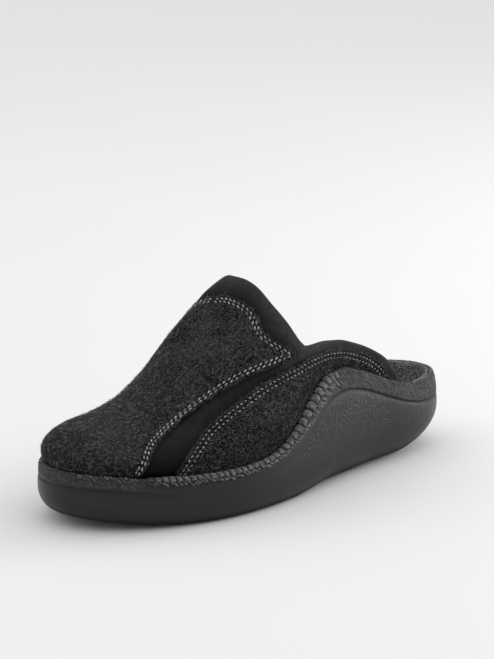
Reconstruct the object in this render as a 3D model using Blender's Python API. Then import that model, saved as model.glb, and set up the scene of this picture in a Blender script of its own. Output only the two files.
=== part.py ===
"""Felt mule slipper for the left foot: a moulded sole unit, a footbed, a hollow upper and its felt panels.

Lengths in this file are millimetres and are turned into metres when the objects are made. The toe points
to +X, the outer side of the foot is +Y, up is +Z and the floor is z = 0.
"""

import bpy
import bmesh
import numpy as np

MM = 0.001

# plan of the sole at its widest level, from the heel along the outer side to the toe and back, by x and y
PLAN = (
    (0.0, -1.5), (9.0, 18.0), (34.0, 31.5), (70.0, 37.5), (112.0, 45.0), (160.0, 54.5), (203.0, 55.0),
    (243.0, 43.5), (269.0, 27.5), (284.0, 6.5), (281.0, -16.0), (263.0, -35.0), (231.0, -47.0),
    (196.0, -48.5), (155.0, -43.0), (112.0, -38.0), (70.0, -37.5), (34.0, -33.5), (9.0, -20.5),
)

# side of the sole: height and inset of the tread, heights of the widest level, groove and rim,
# lean of the rim and height of the inner floor
SOLE_COLUMNS = ("x", "tread", "inset", "widest", "groove", "rim", "lean", "floor")
SOLE = (
    (0.0, 12.5, 16.5, 26.0, 31.5, 45.0, 2.5, 23.0),
    (30.0, 2.4, 21.5, 26.0, 32.5, 45.5, 2.8, 23.0),
    (48.0, 0.0, 22.5, 26.0, 36.5, 47.5, 3.2, 23.0),
    (66.0, 0.0, 22.0, 26.0, 43.5, 54.5, 4.0, 22.5),
    (85.0, 0.0, 19.5, 26.0, 51.0, 62.5, 4.8, 21.5),
    (103.0, 1.0, 16.0, 25.5, 54.5, 67.5, 5.0, 20.0),
    (117.0, 1.8, 13.0, 24.5, 52.0, 66.0, 4.8, 18.5),
    (131.0, 1.0, 10.5, 23.0, 42.5, 57.5, 4.0, 17.0),
    (146.0, 0.0, 9.5, 21.0, 30.5, 43.5, 3.0, 15.0),
    (160.0, 0.0, 9.5, 19.0, 24.0, 34.5, 2.4, 13.5),
    (178.0, 0.0, 9.5, 17.0, 20.5, 29.8, 2.2, 12.5),
    (205.0, 0.0, 9.5, 16.0, 19.5, 28.7, 2.0, 12.0),
    (237.0, 1.2, 10.0, 16.5, 21.0, 29.7, 2.0, 12.5),
    (262.0, 3.6, 11.0, 18.5, 24.0, 32.0, 2.0, 14.0),
    (285.0, 7.0, 11.5, 21.0, 26.0, 34.3, 2.0, 16.5),
)

LIP = 2.8
SIDE_POWER = 2.3
SIDE_STEPS = 5
GROOVE_HALF = 1.3
GROOVE_DEPTH = 0.8
BAND_SWELL = 0.5
LEAN_POWER = 1.5
SOLE_POINTS = 80

# footbed: step from the inner wall, and heights of its edge and pad above the inner floor
FOOTBED_COLUMNS = ("x", "step", "edge", "drop")
FOOTBED = (
    (0.0, 0.0, 20.6, 6.3),
    (22.0, 0.0, 20.6, 6.3),
    (34.0, 1.2, 20.0, 6.3),
    (45.0, 4.6, 17.0, 6.3),
    (60.0, 4.6, 12.0, 6.3),
    (85.0, 4.6, 8.5, 6.3),
    (285.0, 4.6, 8.0, 6.0),
)
FOOTBED_POINTS = 60

# upper: height and offset of its ridge line, and how far it swells out above the rim
UPPER_COLUMNS = ("x", "ridge", "offset", "swell")
UPPER = (
    (30.0, 119.0, -2.0, 0.6),
    (115.0, 123.5, -4.0, 0.8),
    (147.0, 121.5, -8.5, 1.2),
    (165.0, 105.5, -8.5, 1.6),
    (190.0, 81.5, -8.0, 2.0),
    (215.0, 60.5, -8.0, 2.2),
    (240.0, 54.0, -7.0, 2.6),
    (262.0, 54.5, -6.0, 3.0),
    (285.0, 50.0, -5.0, 3.0),
)
SWELL_RISE = 6.0
ARCH_POWER = 2.12
NOSE_START = 225.0
NOSE_POWER = 2.6
TOE_SWELL = 3.2
TOE_SWELL_RISE = 26.0
FIRST_STATION = 36.0
STATIONS = 360
SHARES = 121

# edges on the outside of the upper, by x and girth share: 0 at the rim, 1 at the ridge
COLLAR_EDGE_OUTER = (
    (46.7, 0.0), (50.6, 0.045), (54.8, 0.095), (61.3, 0.150), (71.3, 0.183), (83.6, 0.200), (95.9, 0.209),
    (107.4, 0.225), (118.9, 0.258), (128.0, 0.300), (132.5, 0.330),
)
COLLAR_EDGE_INNER = (
    (70.5, 0.0), (73.5, 0.022), (78.0, 0.045), (83.0, 0.070), (88.5, 0.108), (94.0, 0.155), (100.0, 0.193),
    (107.4, 0.222), (118.9, 0.258), (128.0, 0.300), (132.5, 0.330),
)
TONGUE_EDGE = (
    (132.5, 0.330), (135.0, 0.375), (137.4, 0.436), (140.3, 0.530), (143.3, 0.640), (145.3, 0.745),
    (146.3, 0.850), (147.0, 1.0),
)
QUARTER_EDGE_OUTER = (
    (231.0, 0.0), (229.6, 0.065), (227.0, 0.128), (223.6, 0.182), (219.6, 0.235), (216.1, 0.271),
    (209.6, 0.335), (205.3, 0.362), (200.5, 0.377), (195.5, 0.390), (187.5, 0.402), (176.0, 0.405),
    (164.5, 0.391), (152.8, 0.347), (141.8, 0.300), (134.0, 0.261), (126.6, 0.222), (119.4, 0.190),
    (110.0, 0.164), (102.4, 0.150), (93.0, 0.144), (81.0, 0.137), (73.9, 0.125), (67.5, 0.101),
    (61.6, 0.056), (57.2, 0.0),
)
QUARTER_EDGE_INNER = (
    (231.0, 0.0), (229.6, 0.065), (227.0, 0.128), (223.6, 0.182), (219.6, 0.235), (216.1, 0.271),
    (209.6, 0.335), (205.3, 0.362), (200.5, 0.377), (195.5, 0.390), (187.5, 0.402), (176.0, 0.405),
    (164.5, 0.391), (152.8, 0.347), (141.8, 0.300), (134.0, 0.261), (126.6, 0.222), (117.4, 0.186),
    (108.0, 0.157), (101.0, 0.124), (95.0, 0.084), (89.5, 0.045), (86.0, 0.018), (83.5, 0.0),
)
VAMP_EDGE = (
    (248.8, 0.0), (247.2, 0.085), (244.2, 0.163), (242.0, 0.228), (239.0, 0.293), (234.7, 0.358),
    (228.8, 0.419), (223.1, 0.468), (217.9, 0.501), (212.3, 0.5215), (206.0, 0.527), (199.9, 0.5235),
    (192.0, 0.5165), (184.3, 0.504), (176.6, 0.4845), (168.4, 0.459), (162.4, 0.4345), (155.4, 0.399),
    (149.5, 0.3705), (141.2, 0.338),
)
THROAT_EDGE_OUTER = (
    (141.2, 0.338), (144.6, 0.391), (148.1, 0.437), (151.3, 0.486), (154.3, 0.536), (156.2, 0.578),
    (156.8, 0.615), (156.2, 0.655), (155.7, 0.695), (155.9, 0.745), (156.7, 0.810), (157.5, 0.870),
    (158.5, 0.935), (160.0, 1.0),
)
THROAT_EDGE_INNER = (
    (141.2, 0.338), (145.2, 0.391), (149.5, 0.437), (153.4, 0.486), (157.0, 0.536), (159.6, 0.585),
    (161.3, 0.650), (162.0, 0.730), (161.8, 0.810), (161.2, 0.870), (160.6, 0.935), (160.0, 1.0),
)
COLLAR_EDGE = {1: COLLAR_EDGE_OUTER, -1: COLLAR_EDGE_INNER}
QUARTER_EDGE = {1: QUARTER_EDGE_OUTER, -1: QUARTER_EDGE_INNER}
THROAT_EDGE = {1: THROAT_EDGE_OUTER, -1: THROAT_EDGE_INNER}

# length that a girth share of 1 stands for, thickness of felt and shell, gap between pieces,
# and depths that panels and shell reach below the rim
GIRTH = 120.0
FELT = 2.0
SEAT = 0.3
SHELL = 1.6
SHELL_DEPTH = FELT + SEAT
PANEL_TUCK = 8.0
SHELL_TUCK = 60.0

VAMP_COLUMNS = 16
EAR_COLUMNS = 2
COLLAR_COLUMNS = 14
THROAT_COLUMNS = 9
TOE_COLUMNS = 9
TOE_SPLIT = 252.0
QUARTER_ROWS = (0.0, 0.22, 0.48, 0.75, 1.0)
STRIPE_ROWS = (0.0, 0.5, 1.0)
BAND_ROWS = (0.0, 0.5, 1.0)
VAMP_ROWS = (0.0, 0.07, 0.17, 0.29, 0.42, 0.56, 0.70, 0.85, 1.0)
SHARP_ANGLE = np.radians(38.0)

# plain colour of each piece: red, green, blue and roughness
COLOURS = (
    ("sole_unit", 0.030, 0.030, 0.032, 0.55),
    ("footbed", 0.120, 0.120, 0.125, 0.95),
    ("upper", 0.035, 0.035, 0.038, 0.85),
    ("vamp_panel", 0.075, 0.075, 0.080, 0.95),
    ("quarter_panel_outer", 0.065, 0.065, 0.070, 0.95),
    ("quarter_panel_inner", 0.065, 0.065, 0.070, 0.95),
)


def smooth_column(table, columns, name, x):
    """Value of a table column at x, on a smooth curve that does not overshoot its rows."""
    xs = np.array([row[0] for row in table])
    ys = np.array([row[columns.index(name)] for row in table])
    step = np.diff(xs)
    slope = np.diff(ys) / step
    tangent = np.empty_like(ys)
    tangent[0] = slope[0]
    tangent[-1] = slope[-1]
    mean = (step[1:] * slope[:-1] + step[:-1] * slope[1:]) / (step[1:] + step[:-1])
    limit = 3.0 * np.minimum(np.abs(slope[:-1]), np.abs(slope[1:]))
    mean = np.sign(mean) * np.minimum(np.abs(mean), limit)
    tangent[1:-1] = np.where(slope[:-1] * slope[1:] <= 0.0, 0.0, mean)
    k = np.clip(np.searchsorted(xs, x) - 1, 0, len(xs) - 2)
    t = np.clip((x - xs[k]) / step[k], 0.0, 1.0)
    start = (1 + 2 * t) * (1 - t) ** 2 * ys[k] + t * (1 - t) ** 2 * step[k] * tangent[k]
    end = t * t * (3 - 2 * t) * ys[k + 1] + t * t * (t - 1) * step[k] * tangent[k + 1]
    return start + end


def sole_column(name, x):
    return smooth_column(SOLE, SOLE_COLUMNS, name, np.asarray(x, float))


def upper_column(name, x):
    return smooth_column(UPPER, UPPER_COLUMNS, name, np.asarray(x, float))


def closed_curve(rows, count):
    """Evenly spaced points and outward normals on a smooth closed curve through the rows of a plan."""
    p = np.array(rows)
    n = len(p)
    t = np.sqrt(np.linalg.norm(np.roll(p, -1, 0) - p, axis=1))
    matrix = np.zeros((n, n))
    right = np.zeros((n, 2))
    for i in range(n):
        a = t[i - 1]
        b = t[i]
        matrix[i, i - 1] += b
        matrix[i, i] += 2 * (a + b)
        matrix[i, (i + 1) % n] += a
        right[i] = 3 * (b * (p[i] - p[i - 1]) / a + a * (p[(i + 1) % n] - p[i]) / b)
    tangent = np.linalg.solve(matrix, right)
    u = np.linspace(0, 1, 60, endpoint=False)[:, None]
    runs = []
    for i in range(n):
        j = (i + 1) % n
        run = (1 + 2 * u) * (1 - u) ** 2 * p[i] + u * (1 - u) ** 2 * t[i] * tangent[i]
        runs.append(run + u * u * (3 - 2 * u) * p[j] + u * u * (u - 1) * t[i] * tangent[j])
    fine = np.vstack(runs + [runs[0][:1]])
    arc = np.concatenate([[0.0], np.cumsum(np.linalg.norm(np.diff(fine, axis=0), axis=1))])
    at = np.linspace(0, arc[-1], count, endpoint=False)
    points = np.stack([np.interp(at, arc, fine[:, k]) for k in (0, 1)], 1)
    along = np.roll(points, -1, 0) - np.roll(points, 1, 0)
    normal = np.stack([-along[:, 1], along[:, 0]], 1)
    normal /= np.linalg.norm(normal, axis=1)[:, None]
    return points, normal


def open_curve(rows, count):
    """Evenly spaced points on a smooth open curve through rows, the second column weighed as girth."""
    p = np.array(rows)
    scale = np.array([1.0, GIRTH])
    q = p * scale
    t = np.concatenate([[0.0], np.cumsum(np.sqrt(np.linalg.norm(np.diff(q, axis=0), axis=1)))])
    fine_t = np.linspace(0, t[-1], 800)
    table = [(a, b[0], b[1]) for a, b in zip(t, q)]
    fine = np.stack([smooth_column(table, ("t", "x", "r"), c, fine_t) for c in ("x", "r")], 1)
    arc = np.concatenate([[0.0], np.cumsum(np.linalg.norm(np.diff(fine, axis=0), axis=1))])
    at = np.linspace(0, arc[-1], count)
    return np.stack([np.interp(at, arc, fine[:, k]) for k in (0, 1)], 1) / scale


def wall_inset(x):
    """Distance from the plan to the inner wall of the sole rim."""
    return sole_column("lean", x) + LIP


def wall_lines():
    """Outer and inner side lines of the upper where it meets the sole, and its toe tip."""
    q, n = closed_curve(PLAN, 1440)
    line = q + n * -wall_inset(q[:, 0])[:, None]
    tip = int(line[:, 0].argmax())
    heel = int(line[:, 0].argmin())
    line = np.roll(line, -heel, 0)
    tip = (tip - heel) % len(line)
    outer = line[:tip + 1]
    inner = np.vstack([line[tip:], line[:1]])[::-1]
    return outer, inner, line[tip]


OUTER_LINE, INNER_LINE, TOE_TIP = wall_lines()
NOSE = TOE_TIP[0] - NOSE_START
STATION_END = NOSE_START + NOSE * np.pi / 2


def station_to_x(w):
    """Stations run evenly in x as far as the nose and then close in on the toe tip."""
    nose = NOSE_START + NOSE * np.sin(np.clip((w - NOSE_START) / NOSE, 0, np.pi / 2))
    return np.where(w < NOSE_START, w, nose)


def x_to_station(x):
    """Stations of some x positions."""
    nose = NOSE_START + NOSE * np.arcsin(np.clip((x - NOSE_START) / NOSE, 0, 1))
    return np.where(x < NOSE_START, x, nose)


def section(x, side, count):
    """Outside of the upper at x on one side: points from rim to ridge, evenly spaced along the girth."""
    t = np.clip((x - NOSE_START) / NOSE, 0, 1)
    nose = (1 - t ** NOSE_POWER) ** (1 / NOSE_POWER)
    line = OUTER_LINE if side > 0 else INNER_LINE
    rim = float(sole_column("rim", x))
    foot = float(np.interp(x, line[:, 0], line[:, 1]))
    top = rim + (float(upper_column("ridge", x)) - rim) * nose
    crown = float(upper_column("offset", x)) * nose + TOE_TIP[1] * (1 - nose)
    swell = float(upper_column("swell", x)) * nose
    widest = rim + SWELL_RISE * nose
    a = np.linspace(0, 1, 40)
    low = np.stack([foot + side * swell * np.sin(np.pi / 2 * a), rim + (widest - rim) * a], 1)
    b = np.linspace(0, np.pi / 2, 240)
    reach = foot + side * swell - crown
    high = np.stack([crown + reach * np.cos(b) ** (2 / ARCH_POWER),
                     widest + (top - widest) * np.sin(b) ** (2 / ARCH_POWER)], 1)
    yz = np.vstack([low, high[1:]])
    arc = np.concatenate([[0.0], np.cumsum(np.linalg.norm(np.diff(yz, axis=0), axis=1) + 1e-9)])
    at = np.linspace(0, arc[-1], count)
    return np.column_stack([np.full(count, x)] + [np.interp(at, arc, yz[:, k]) for k in (0, 1)])


def grid_normals(grid):
    """Outward normals of a grid on the upper."""
    normal = np.cross(np.gradient(grid, axis=1), np.gradient(grid, axis=0))
    length = np.linalg.norm(normal, axis=2, keepdims=True)
    normal = np.where(length > 1e-9, normal / np.maximum(length, 1e-9), 0.0)
    normal[-1] = (1.0, 0.0, 0.0)
    return normal


def surface_grid():
    """Outside of the upper as a fine grid: stations, then girth from the outer rim to the inner rim."""
    w = np.linspace(FIRST_STATION, STATION_END, STATIONS)
    rows = []
    for x in station_to_x(w):
        outer = section(float(x), 1, SHARES)
        inner = section(float(x), -1, SHARES)
        rows.append(np.vstack([outer, inner[::-1][1:]]))
    grid = np.array(rows)
    facing = np.maximum(grid_normals(grid)[:, :, 0], 0.0)
    rise = np.clip((grid[:, :, 2] - sole_column("rim", grid[:, :, 0])) / TOE_SWELL_RISE, 0, 1)
    grid[:, :, 0] += TOE_SWELL * facing * np.sin(np.pi * rise)
    return grid, grid_normals(grid)


GRID, GRID_NORMAL = surface_grid()


def on_upper(x, share, side, depth):
    """Points on the upper's outside at x and girth share (0 rim, 1 ridge), sunk by depth along the normal.

    Below the rim the share is negative and the points run straight down into the sole.
    """
    w = (x_to_station(np.asarray(x, float)) - FIRST_STATION) / (STATION_END - FIRST_STATION) * (STATIONS - 1)
    below = np.minimum(share, 0.0)
    r = np.clip(share, 0.0, 1.0) * (SHARES - 1)
    v = np.where(side > 0, r, 2 * (SHARES - 1) - r)
    i = np.clip(w.astype(int), 0, STATIONS - 2)
    j = np.clip(v.astype(int), 0, 2 * SHARES - 3)
    a = (w - i)[..., None]
    b = (v - j)[..., None]
    out = []
    for field in (GRID, GRID_NORMAL):
        low = field[i, j] * (1 - a) + field[i + 1, j] * a
        high = field[i, j + 1] * (1 - a) + field[i + 1, j + 1] * a
        out.append(low * (1 - b) + high * b)
    point, normal = out
    level = np.clip(1 - r / (SHARES - 1) / 0.04, 0, 1)[..., None]
    normal = normal * np.array([1.0, 1.0, 0.0]) * level + normal * (1 - level)
    normal /= np.maximum(np.linalg.norm(normal, axis=-1, keepdims=True), 1e-9)
    point = point - normal * np.asarray(depth)[..., None]
    point[..., 2] += below * GIRTH
    return point


def ridge_run(first, last, count):
    """Points along the ridge, evenly spaced by station."""
    w = np.linspace(float(x_to_station(first)), float(x_to_station(last)), count)
    return np.column_stack([station_to_x(w), np.ones(count)])


def rim_run(first, last, count):
    """Points along the rim, evenly spaced by station."""
    w = np.linspace(float(x_to_station(first)), float(x_to_station(last)), count)
    return np.column_stack([station_to_x(w), np.zeros(count)])


def edge_runs(side):
    """The panel edges cut into columns, so that the pieces that meet at an edge share its points."""
    vamp = open_curve(VAMP_EDGE, VAMP_COLUMNS + 1)
    collar = open_curve(COLLAR_EDGE[side], COLLAR_COLUMNS + 1)[::-1]
    throat = open_curve(THROAT_EDGE[side], THROAT_COLUMNS + 1)
    tongue = open_curve(TONGUE_EDGE, THROAT_COLUMNS + 1)
    quarter = open_curve(QUARTER_EDGE[side], VAMP_COLUMNS + EAR_COLUMNS + COLLAR_COLUMNS + 1)
    ear = np.linspace(vamp[-1], collar[0], EAR_COLUMNS + 1)
    return vamp, collar, throat, tongue, quarter, ear


def patch(low, high, rows):
    """Grid of x and share between two runs of columns."""
    return np.array([low + (high - low) * v for v in rows])


def skirt(run, tuck):
    """Strip that goes straight down from a run along the rim, by tuck or as far as the inner floor."""
    deepest = sole_column("rim", run[:, 0]) - sole_column("floor", run[:, 0]) - SEAT
    below = run.copy()
    below[:, 1] = -np.minimum(deepest, tuck) / GIRTH
    return np.array([below, run])


def upper_regions(tuck, side):
    """The regions of the upper on one side, by name, each a list of grids."""
    vamp, collar, throat, tongue, quarter, ear = edge_runs(side)
    foot = rim_run(quarter[0, 0], quarter[-1, 0], len(quarter))
    stripe_top = np.vstack([vamp, ear[1:], collar[1:]])
    toe = rim_run(vamp[0, 0], TOE_TIP[0], TOE_COLUMNS + 1)
    vamp_low = np.vstack([vamp[::-1], toe[1:]])
    instep = ridge_run(throat[-1, 0], TOE_SPLIT, VAMP_COLUMNS - THROAT_COLUMNS + 1)
    toe_top = ridge_run(TOE_SPLIT, TOE_TIP[0], TOE_COLUMNS + 1)
    vamp_high = np.vstack([throat, instep[1:], toe_top[1:]])
    front = np.linspace(quarter[0], vamp[0], len(STRIPE_ROWS))
    rear = np.linspace(collar[-1], quarter[-1], len(STRIPE_ROWS))
    return {
        "quarter": [patch(foot, quarter, QUARTER_ROWS)[:, ::-1], skirt(foot[::-1], tuck)],
        "stripe": [patch(quarter, stripe_top, STRIPE_ROWS)[:, ::-1], skirt(front, tuck), skirt(rear, tuck)],
        "band": [patch(throat, tongue, BAND_ROWS)],
        "vamp": [patch(vamp_low, vamp_high, VAMP_ROWS), skirt(toe, tuck)],
    }


def sheet_solid(name, names, sides, tuck, top, bottom):
    """Closed solid between two depths under the upper's outside, made of regions joined at their edges."""
    index = {}
    params = []
    faces = []
    for side in sides:
        regions = upper_regions(tuck, side)
        for grid in [grid for region in names for grid in regions[region]]:
            ids = np.empty(grid.shape[:2], int)
            for i, j in np.ndindex(*ids.shape):
                x, share = grid[i, j]
                at_tip = x > TOE_TIP[0] - 1e-4
                share = min(share, 0.0) if at_tip else share
                middle = at_tip or share > 1 - 1e-6
                key = (round(x, 3), round(share, 5), 0 if middle else side)
                if key not in index:
                    index[key] = len(params)
                    params.append((x, share, side))
                ids[i, j] = index[key]
            for i in range(ids.shape[0] - 1):
                for j in range(ids.shape[1] - 1):
                    ring = [ids[i, j], ids[i, j + 1], ids[i + 1, j + 1], ids[i + 1, j]]
                    ring = [v for k, v in enumerate(ring) if v != ring[k - 1]]
                    for k in range(1, len(ring) - 1):
                        face = (ring[0], ring[k], ring[k + 1])
                        faces.append(face if side > 0 else face[::-1])
    x, share, side = np.array(params).T
    outer = on_upper(x, share, side, np.full(len(x), top))
    inner = on_upper(x, share, side, np.full(len(x), bottom))
    count = len(x)
    solid = list(faces) + [tuple(v + count for v in face[::-1]) for face in faces]
    edges = {}
    for face in faces:
        for a, b in zip(face, face[1:] + face[:1]):
            edges[(a, b)] = True
    for a, b in edges:
        if (b, a) not in edges:
            solid.append((b, a, a + count, b + count))
    return make_object(name, np.vstack([outer, inner]), solid)


def make_object(name, points, faces):
    """Object of one closed mesh in metres, placed in the shared frame."""
    mesh = bpy.data.meshes.new(name)
    vertices = (points - FRAME_SHIFT) * MM
    mesh.from_pydata(vertices.tolist(), [], [tuple(int(v) for v in face) for face in faces])
    work = bmesh.new()
    work.from_mesh(mesh)
    bmesh.ops.recalc_face_normals(work, faces=work.faces)
    for face in work.faces:
        face.smooth = True
    for edge in work.edges:
        if len(edge.link_faces) == 2 and edge.calc_face_angle(0.0) > SHARP_ANGLE:
            edge.smooth = False
    bmesh.ops.triangulate(work, faces=work.faces)
    work.to_mesh(mesh)
    work.free()
    item = bpy.data.objects.new(name, mesh)
    bpy.context.scene.collection.objects.link(item)
    return item


def ring_solid(name, rings, ties):
    """Closed solid from a list of rings, capped at both ends by strips that tie the two sides together."""
    count = len(rings[0])
    points = [np.array(ring) for ring in rings]
    faces = []
    for k in range(len(rings) - 1):
        for i in range(count):
            j = (i + 1) % count
            faces.append((k * count + i, k * count + j, (k + 1) * count + j, (k + 1) * count + i))
    total = len(rings) * count
    half = count // 2
    for ring_at, flip in ((0, True), (len(rings) - 1, False)):
        base = ring_at * count
        ring = points[ring_at]
        lines = []
        for i in range(1, half):
            a = ring[i]
            b = ring[count - i]
            line = [base + i]
            for t in range(1, ties):
                points.append(np.array([a + (b - a) * t / ties]))
                line.append(total)
                total += 1
            line.append(base + count - i)
            lines.append(line)
        cap = []
        for first, second in zip(lines[:-1], lines[1:]):
            for t in range(ties):
                cap.append((first[t], second[t], second[t + 1], first[t + 1]))
        for t in range(ties):
            cap.append((base, lines[0][t], lines[0][t + 1]))
            cap.append((base + half, lines[-1][t + 1], lines[-1][t]))
        faces.extend(face[::-1] if flip else face for face in cap)
    return make_object(name, np.vstack(points), faces)


def side_inset(x, z):
    """Inset of the smooth sole side above its widest level."""
    widest = sole_column("widest", x)
    rim = sole_column("rim", x)
    t = np.clip((z - widest) / (rim - widest), 0, 1)
    return sole_column("lean", x) * t ** LEAN_POWER


def sole_rings():
    """Rings of the sole unit, from the tread up the side, over the rim and down to the inner floor."""
    q, n = closed_curve(PLAN, SOLE_POINTS)
    x = q[:, 0]
    value = {c: sole_column(c, x) for c in SOLE_COLUMNS[1:]}
    pairs = [(value["inset"] + 6.0, value["tread"])]
    for angle in np.linspace(0, np.pi / 2, SIDE_STEPS + 1):
        inset = value["inset"] * (1 - np.sin(angle) ** (2 / SIDE_POWER))
        height = value["tread"] + (value["widest"] - value["tread"]) * (1 - np.cos(angle) ** (2 / SIDE_POWER))
        pairs.append((inset, height))
    low = value["groove"] - GROOVE_HALF
    mid = value["groove"]
    high = value["groove"] + GROOVE_HALF
    shoulder = value["rim"] - 1.6
    pairs.append((side_inset(x, low), low))
    pairs.append((side_inset(x, mid) + GROOVE_DEPTH, mid))
    pairs.append((side_inset(x, high) - 0.2, high))
    pairs.append((side_inset(x, (high + shoulder) / 2) - BAND_SWELL, (high + shoulder) / 2))
    pairs.append((side_inset(x, shoulder) - 0.1, shoulder))
    wall = wall_inset(x) - SEAT
    pairs.append((value["lean"] + 0.45, value["rim"] - 0.35))
    pairs.append((value["lean"] + 1.25, value["rim"]))
    pairs.append((wall - 0.5, value["rim"] - 0.25))
    pairs.append((wall, value["rim"] - 1.0))
    pairs.append((wall, value["floor"]))
    return [np.column_stack([q - n * inset[:, None], height]) for inset, height in pairs]


def footbed_rings():
    """Rings of the felt footbed: a pad on the inner floor whose edge climbs the heel wall as a cup."""
    q, n = closed_curve(PLAN, FOOTBED_POINTS)
    x = q[:, 0]
    floor = sole_column("floor", x) + SEAT
    step = smooth_column(FOOTBED, FOOTBED_COLUMNS, "step", x)
    edge = floor + smooth_column(FOOTBED, FOOTBED_COLUMNS, "edge", x)
    pad = floor + smooth_column(FOOTBED, FOOTBED_COLUMNS, "drop", x)
    side = wall_inset(x) + step
    pairs = (
        (side + 1.2, floor),
        (side, floor + 1.2),
        (side, edge - 0.9),
        (side + 0.5, edge - 0.1),
        (side + 1.5, edge),
        (side + 2.4, edge - 0.8),
        (side + 3.2, edge + (pad - edge) * 0.6),
        (side + 6.0, pad + 0.6),
        (side + 12.0, pad),
    )
    return [np.column_stack([q - n * inset[:, None], height]) for inset, height in pairs]


def frame_shift():
    """Middle of the plan, so that the part stands centred on the origin."""
    q, n = closed_curve(PLAN, SOLE_POINTS)
    middle = (q.max(0) + q.min(0)) / 2
    return np.array([middle[0], middle[1], 0.0])


FRAME_SHIFT = frame_shift()


def add_material(item):
    """Plain material of the named piece."""
    row = next(row for row in COLOURS if row[0] == item.name)
    material = bpy.data.materials.new(item.name + "_material")
    material.use_nodes = True
    shader = material.node_tree.nodes["Principled BSDF"]
    shader.inputs["Base Color"].default_value = (row[1], row[2], row[3], 1.0)
    shader.inputs["Roughness"].default_value = row[4]
    item.data.materials.append(material)


def build():
    for item in list(bpy.data.objects):
        bpy.data.objects.remove(item)
    items = [ring_solid("sole_unit", sole_rings(), 4), ring_solid("footbed", footbed_rings(), 4)]
    shell = ("quarter", "stripe", "band", "vamp")
    items.append(sheet_solid("upper", shell, (1, -1), SHELL_TUCK, SHELL_DEPTH, SHELL_DEPTH + SHELL))
    items.append(sheet_solid("vamp_panel", ("vamp",), (1, -1), PANEL_TUCK, 0.0, FELT))
    items.append(sheet_solid("quarter_panel_outer", ("quarter",), (1,), PANEL_TUCK, 0.0, FELT))
    items.append(sheet_solid("quarter_panel_inner", ("quarter",), (-1,), PANEL_TUCK, 0.0, FELT))
    for item in items:
        add_material(item)


build()
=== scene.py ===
"""Looks of a charcoal felt mule slipper for the left foot, laid out as an add-on.

Lengths inside the shape functions are millimetres from the heel: x runs to the toe, y to the outer side
and z up. They become metres in the shared frame when a piece is made.
"""

from collections import namedtuple

import bmesh
import bpy
import numpy as np
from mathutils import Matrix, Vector
from mathutils.kdtree import KDTree


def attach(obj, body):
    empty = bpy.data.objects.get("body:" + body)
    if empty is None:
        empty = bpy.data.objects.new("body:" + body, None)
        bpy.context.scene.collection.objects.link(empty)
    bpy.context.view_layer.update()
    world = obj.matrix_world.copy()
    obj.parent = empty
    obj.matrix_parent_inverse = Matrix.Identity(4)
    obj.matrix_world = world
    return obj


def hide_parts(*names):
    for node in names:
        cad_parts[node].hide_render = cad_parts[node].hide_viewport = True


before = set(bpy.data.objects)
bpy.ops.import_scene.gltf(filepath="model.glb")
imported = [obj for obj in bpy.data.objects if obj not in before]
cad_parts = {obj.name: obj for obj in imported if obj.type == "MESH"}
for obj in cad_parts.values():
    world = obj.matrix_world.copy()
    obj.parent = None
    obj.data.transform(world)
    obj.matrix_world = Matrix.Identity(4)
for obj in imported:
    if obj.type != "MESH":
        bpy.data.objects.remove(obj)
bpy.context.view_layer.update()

bl_info = {
    "name": "Felt Mule Slipper",
    "version": (1, 0, 0),
    "blender": (4, 5, 0),
    "location": "View3D > Sidebar > Slipper",
    "description": "Builds the visible pieces of a felt mule slipper on its packed frame",
    "category": "Object",
}

MM = 0.001
TINY = 1e-9
BODY = "root"
OUTER = 1
INNER = -1
SIDES = (OUTER, INNER)

# plan of the sole at its widest level, from the heel along the outer side to the toe and back
PLAN = (
    (0.0, -1.5), (9.0, 18.0), (34.0, 31.5), (70.0, 37.5), (112.0, 45.0), (160.0, 54.5), (203.0, 55.0),
    (243.0, 43.5), (269.0, 27.5), (284.0, 6.5), (281.0, -16.0), (263.0, -35.0), (231.0, -47.0),
    (196.0, -48.5), (155.0, -43.0), (112.0, -38.0), (70.0, -37.5), (34.0, -33.5), (9.0, -20.5),
)

# sole by x: height of the tread, inset of the tread, heights of the widest level, the groove and the rim,
# lean of the side between the widest level and the rim, and height of the inner floor
SOLE_COLUMNS = ("x", "tread", "inset", "widest", "groove", "rim", "lean", "floor")
SOLE = (
    (0.0, 12.5, 16.5, 26.0, 31.5, 45.0, 2.5, 23.0),
    (30.0, 2.4, 21.5, 26.0, 32.5, 45.5, 2.8, 23.0),
    (48.0, 0.0, 22.5, 26.0, 36.5, 47.5, 3.2, 23.0),
    (66.0, 0.0, 22.0, 26.0, 43.5, 54.5, 4.0, 22.5),
    (85.0, 0.0, 19.5, 26.0, 51.0, 62.5, 4.8, 21.5),
    (103.0, 1.0, 16.0, 25.5, 54.5, 67.5, 5.0, 20.0),
    (117.0, 1.8, 13.0, 24.5, 52.0, 66.0, 4.8, 18.5),
    (131.0, 1.0, 10.5, 23.0, 42.5, 57.5, 4.0, 17.0),
    (146.0, 0.0, 9.5, 21.0, 30.5, 43.5, 3.0, 15.0),
    (160.0, 0.0, 9.5, 19.0, 24.0, 34.5, 2.4, 13.5),
    (178.0, 0.0, 9.5, 17.0, 20.5, 29.8, 2.2, 12.5),
    (205.0, 0.0, 9.5, 16.0, 19.5, 28.7, 2.0, 12.0),
    (237.0, 1.2, 10.0, 16.5, 21.0, 29.7, 2.0, 12.5),
    (262.0, 3.6, 11.0, 18.5, 24.0, 32.0, 2.0, 14.0),
    (285.0, 7.0, 11.5, 21.0, 26.0, 34.3, 2.0, 16.5),
)

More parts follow.
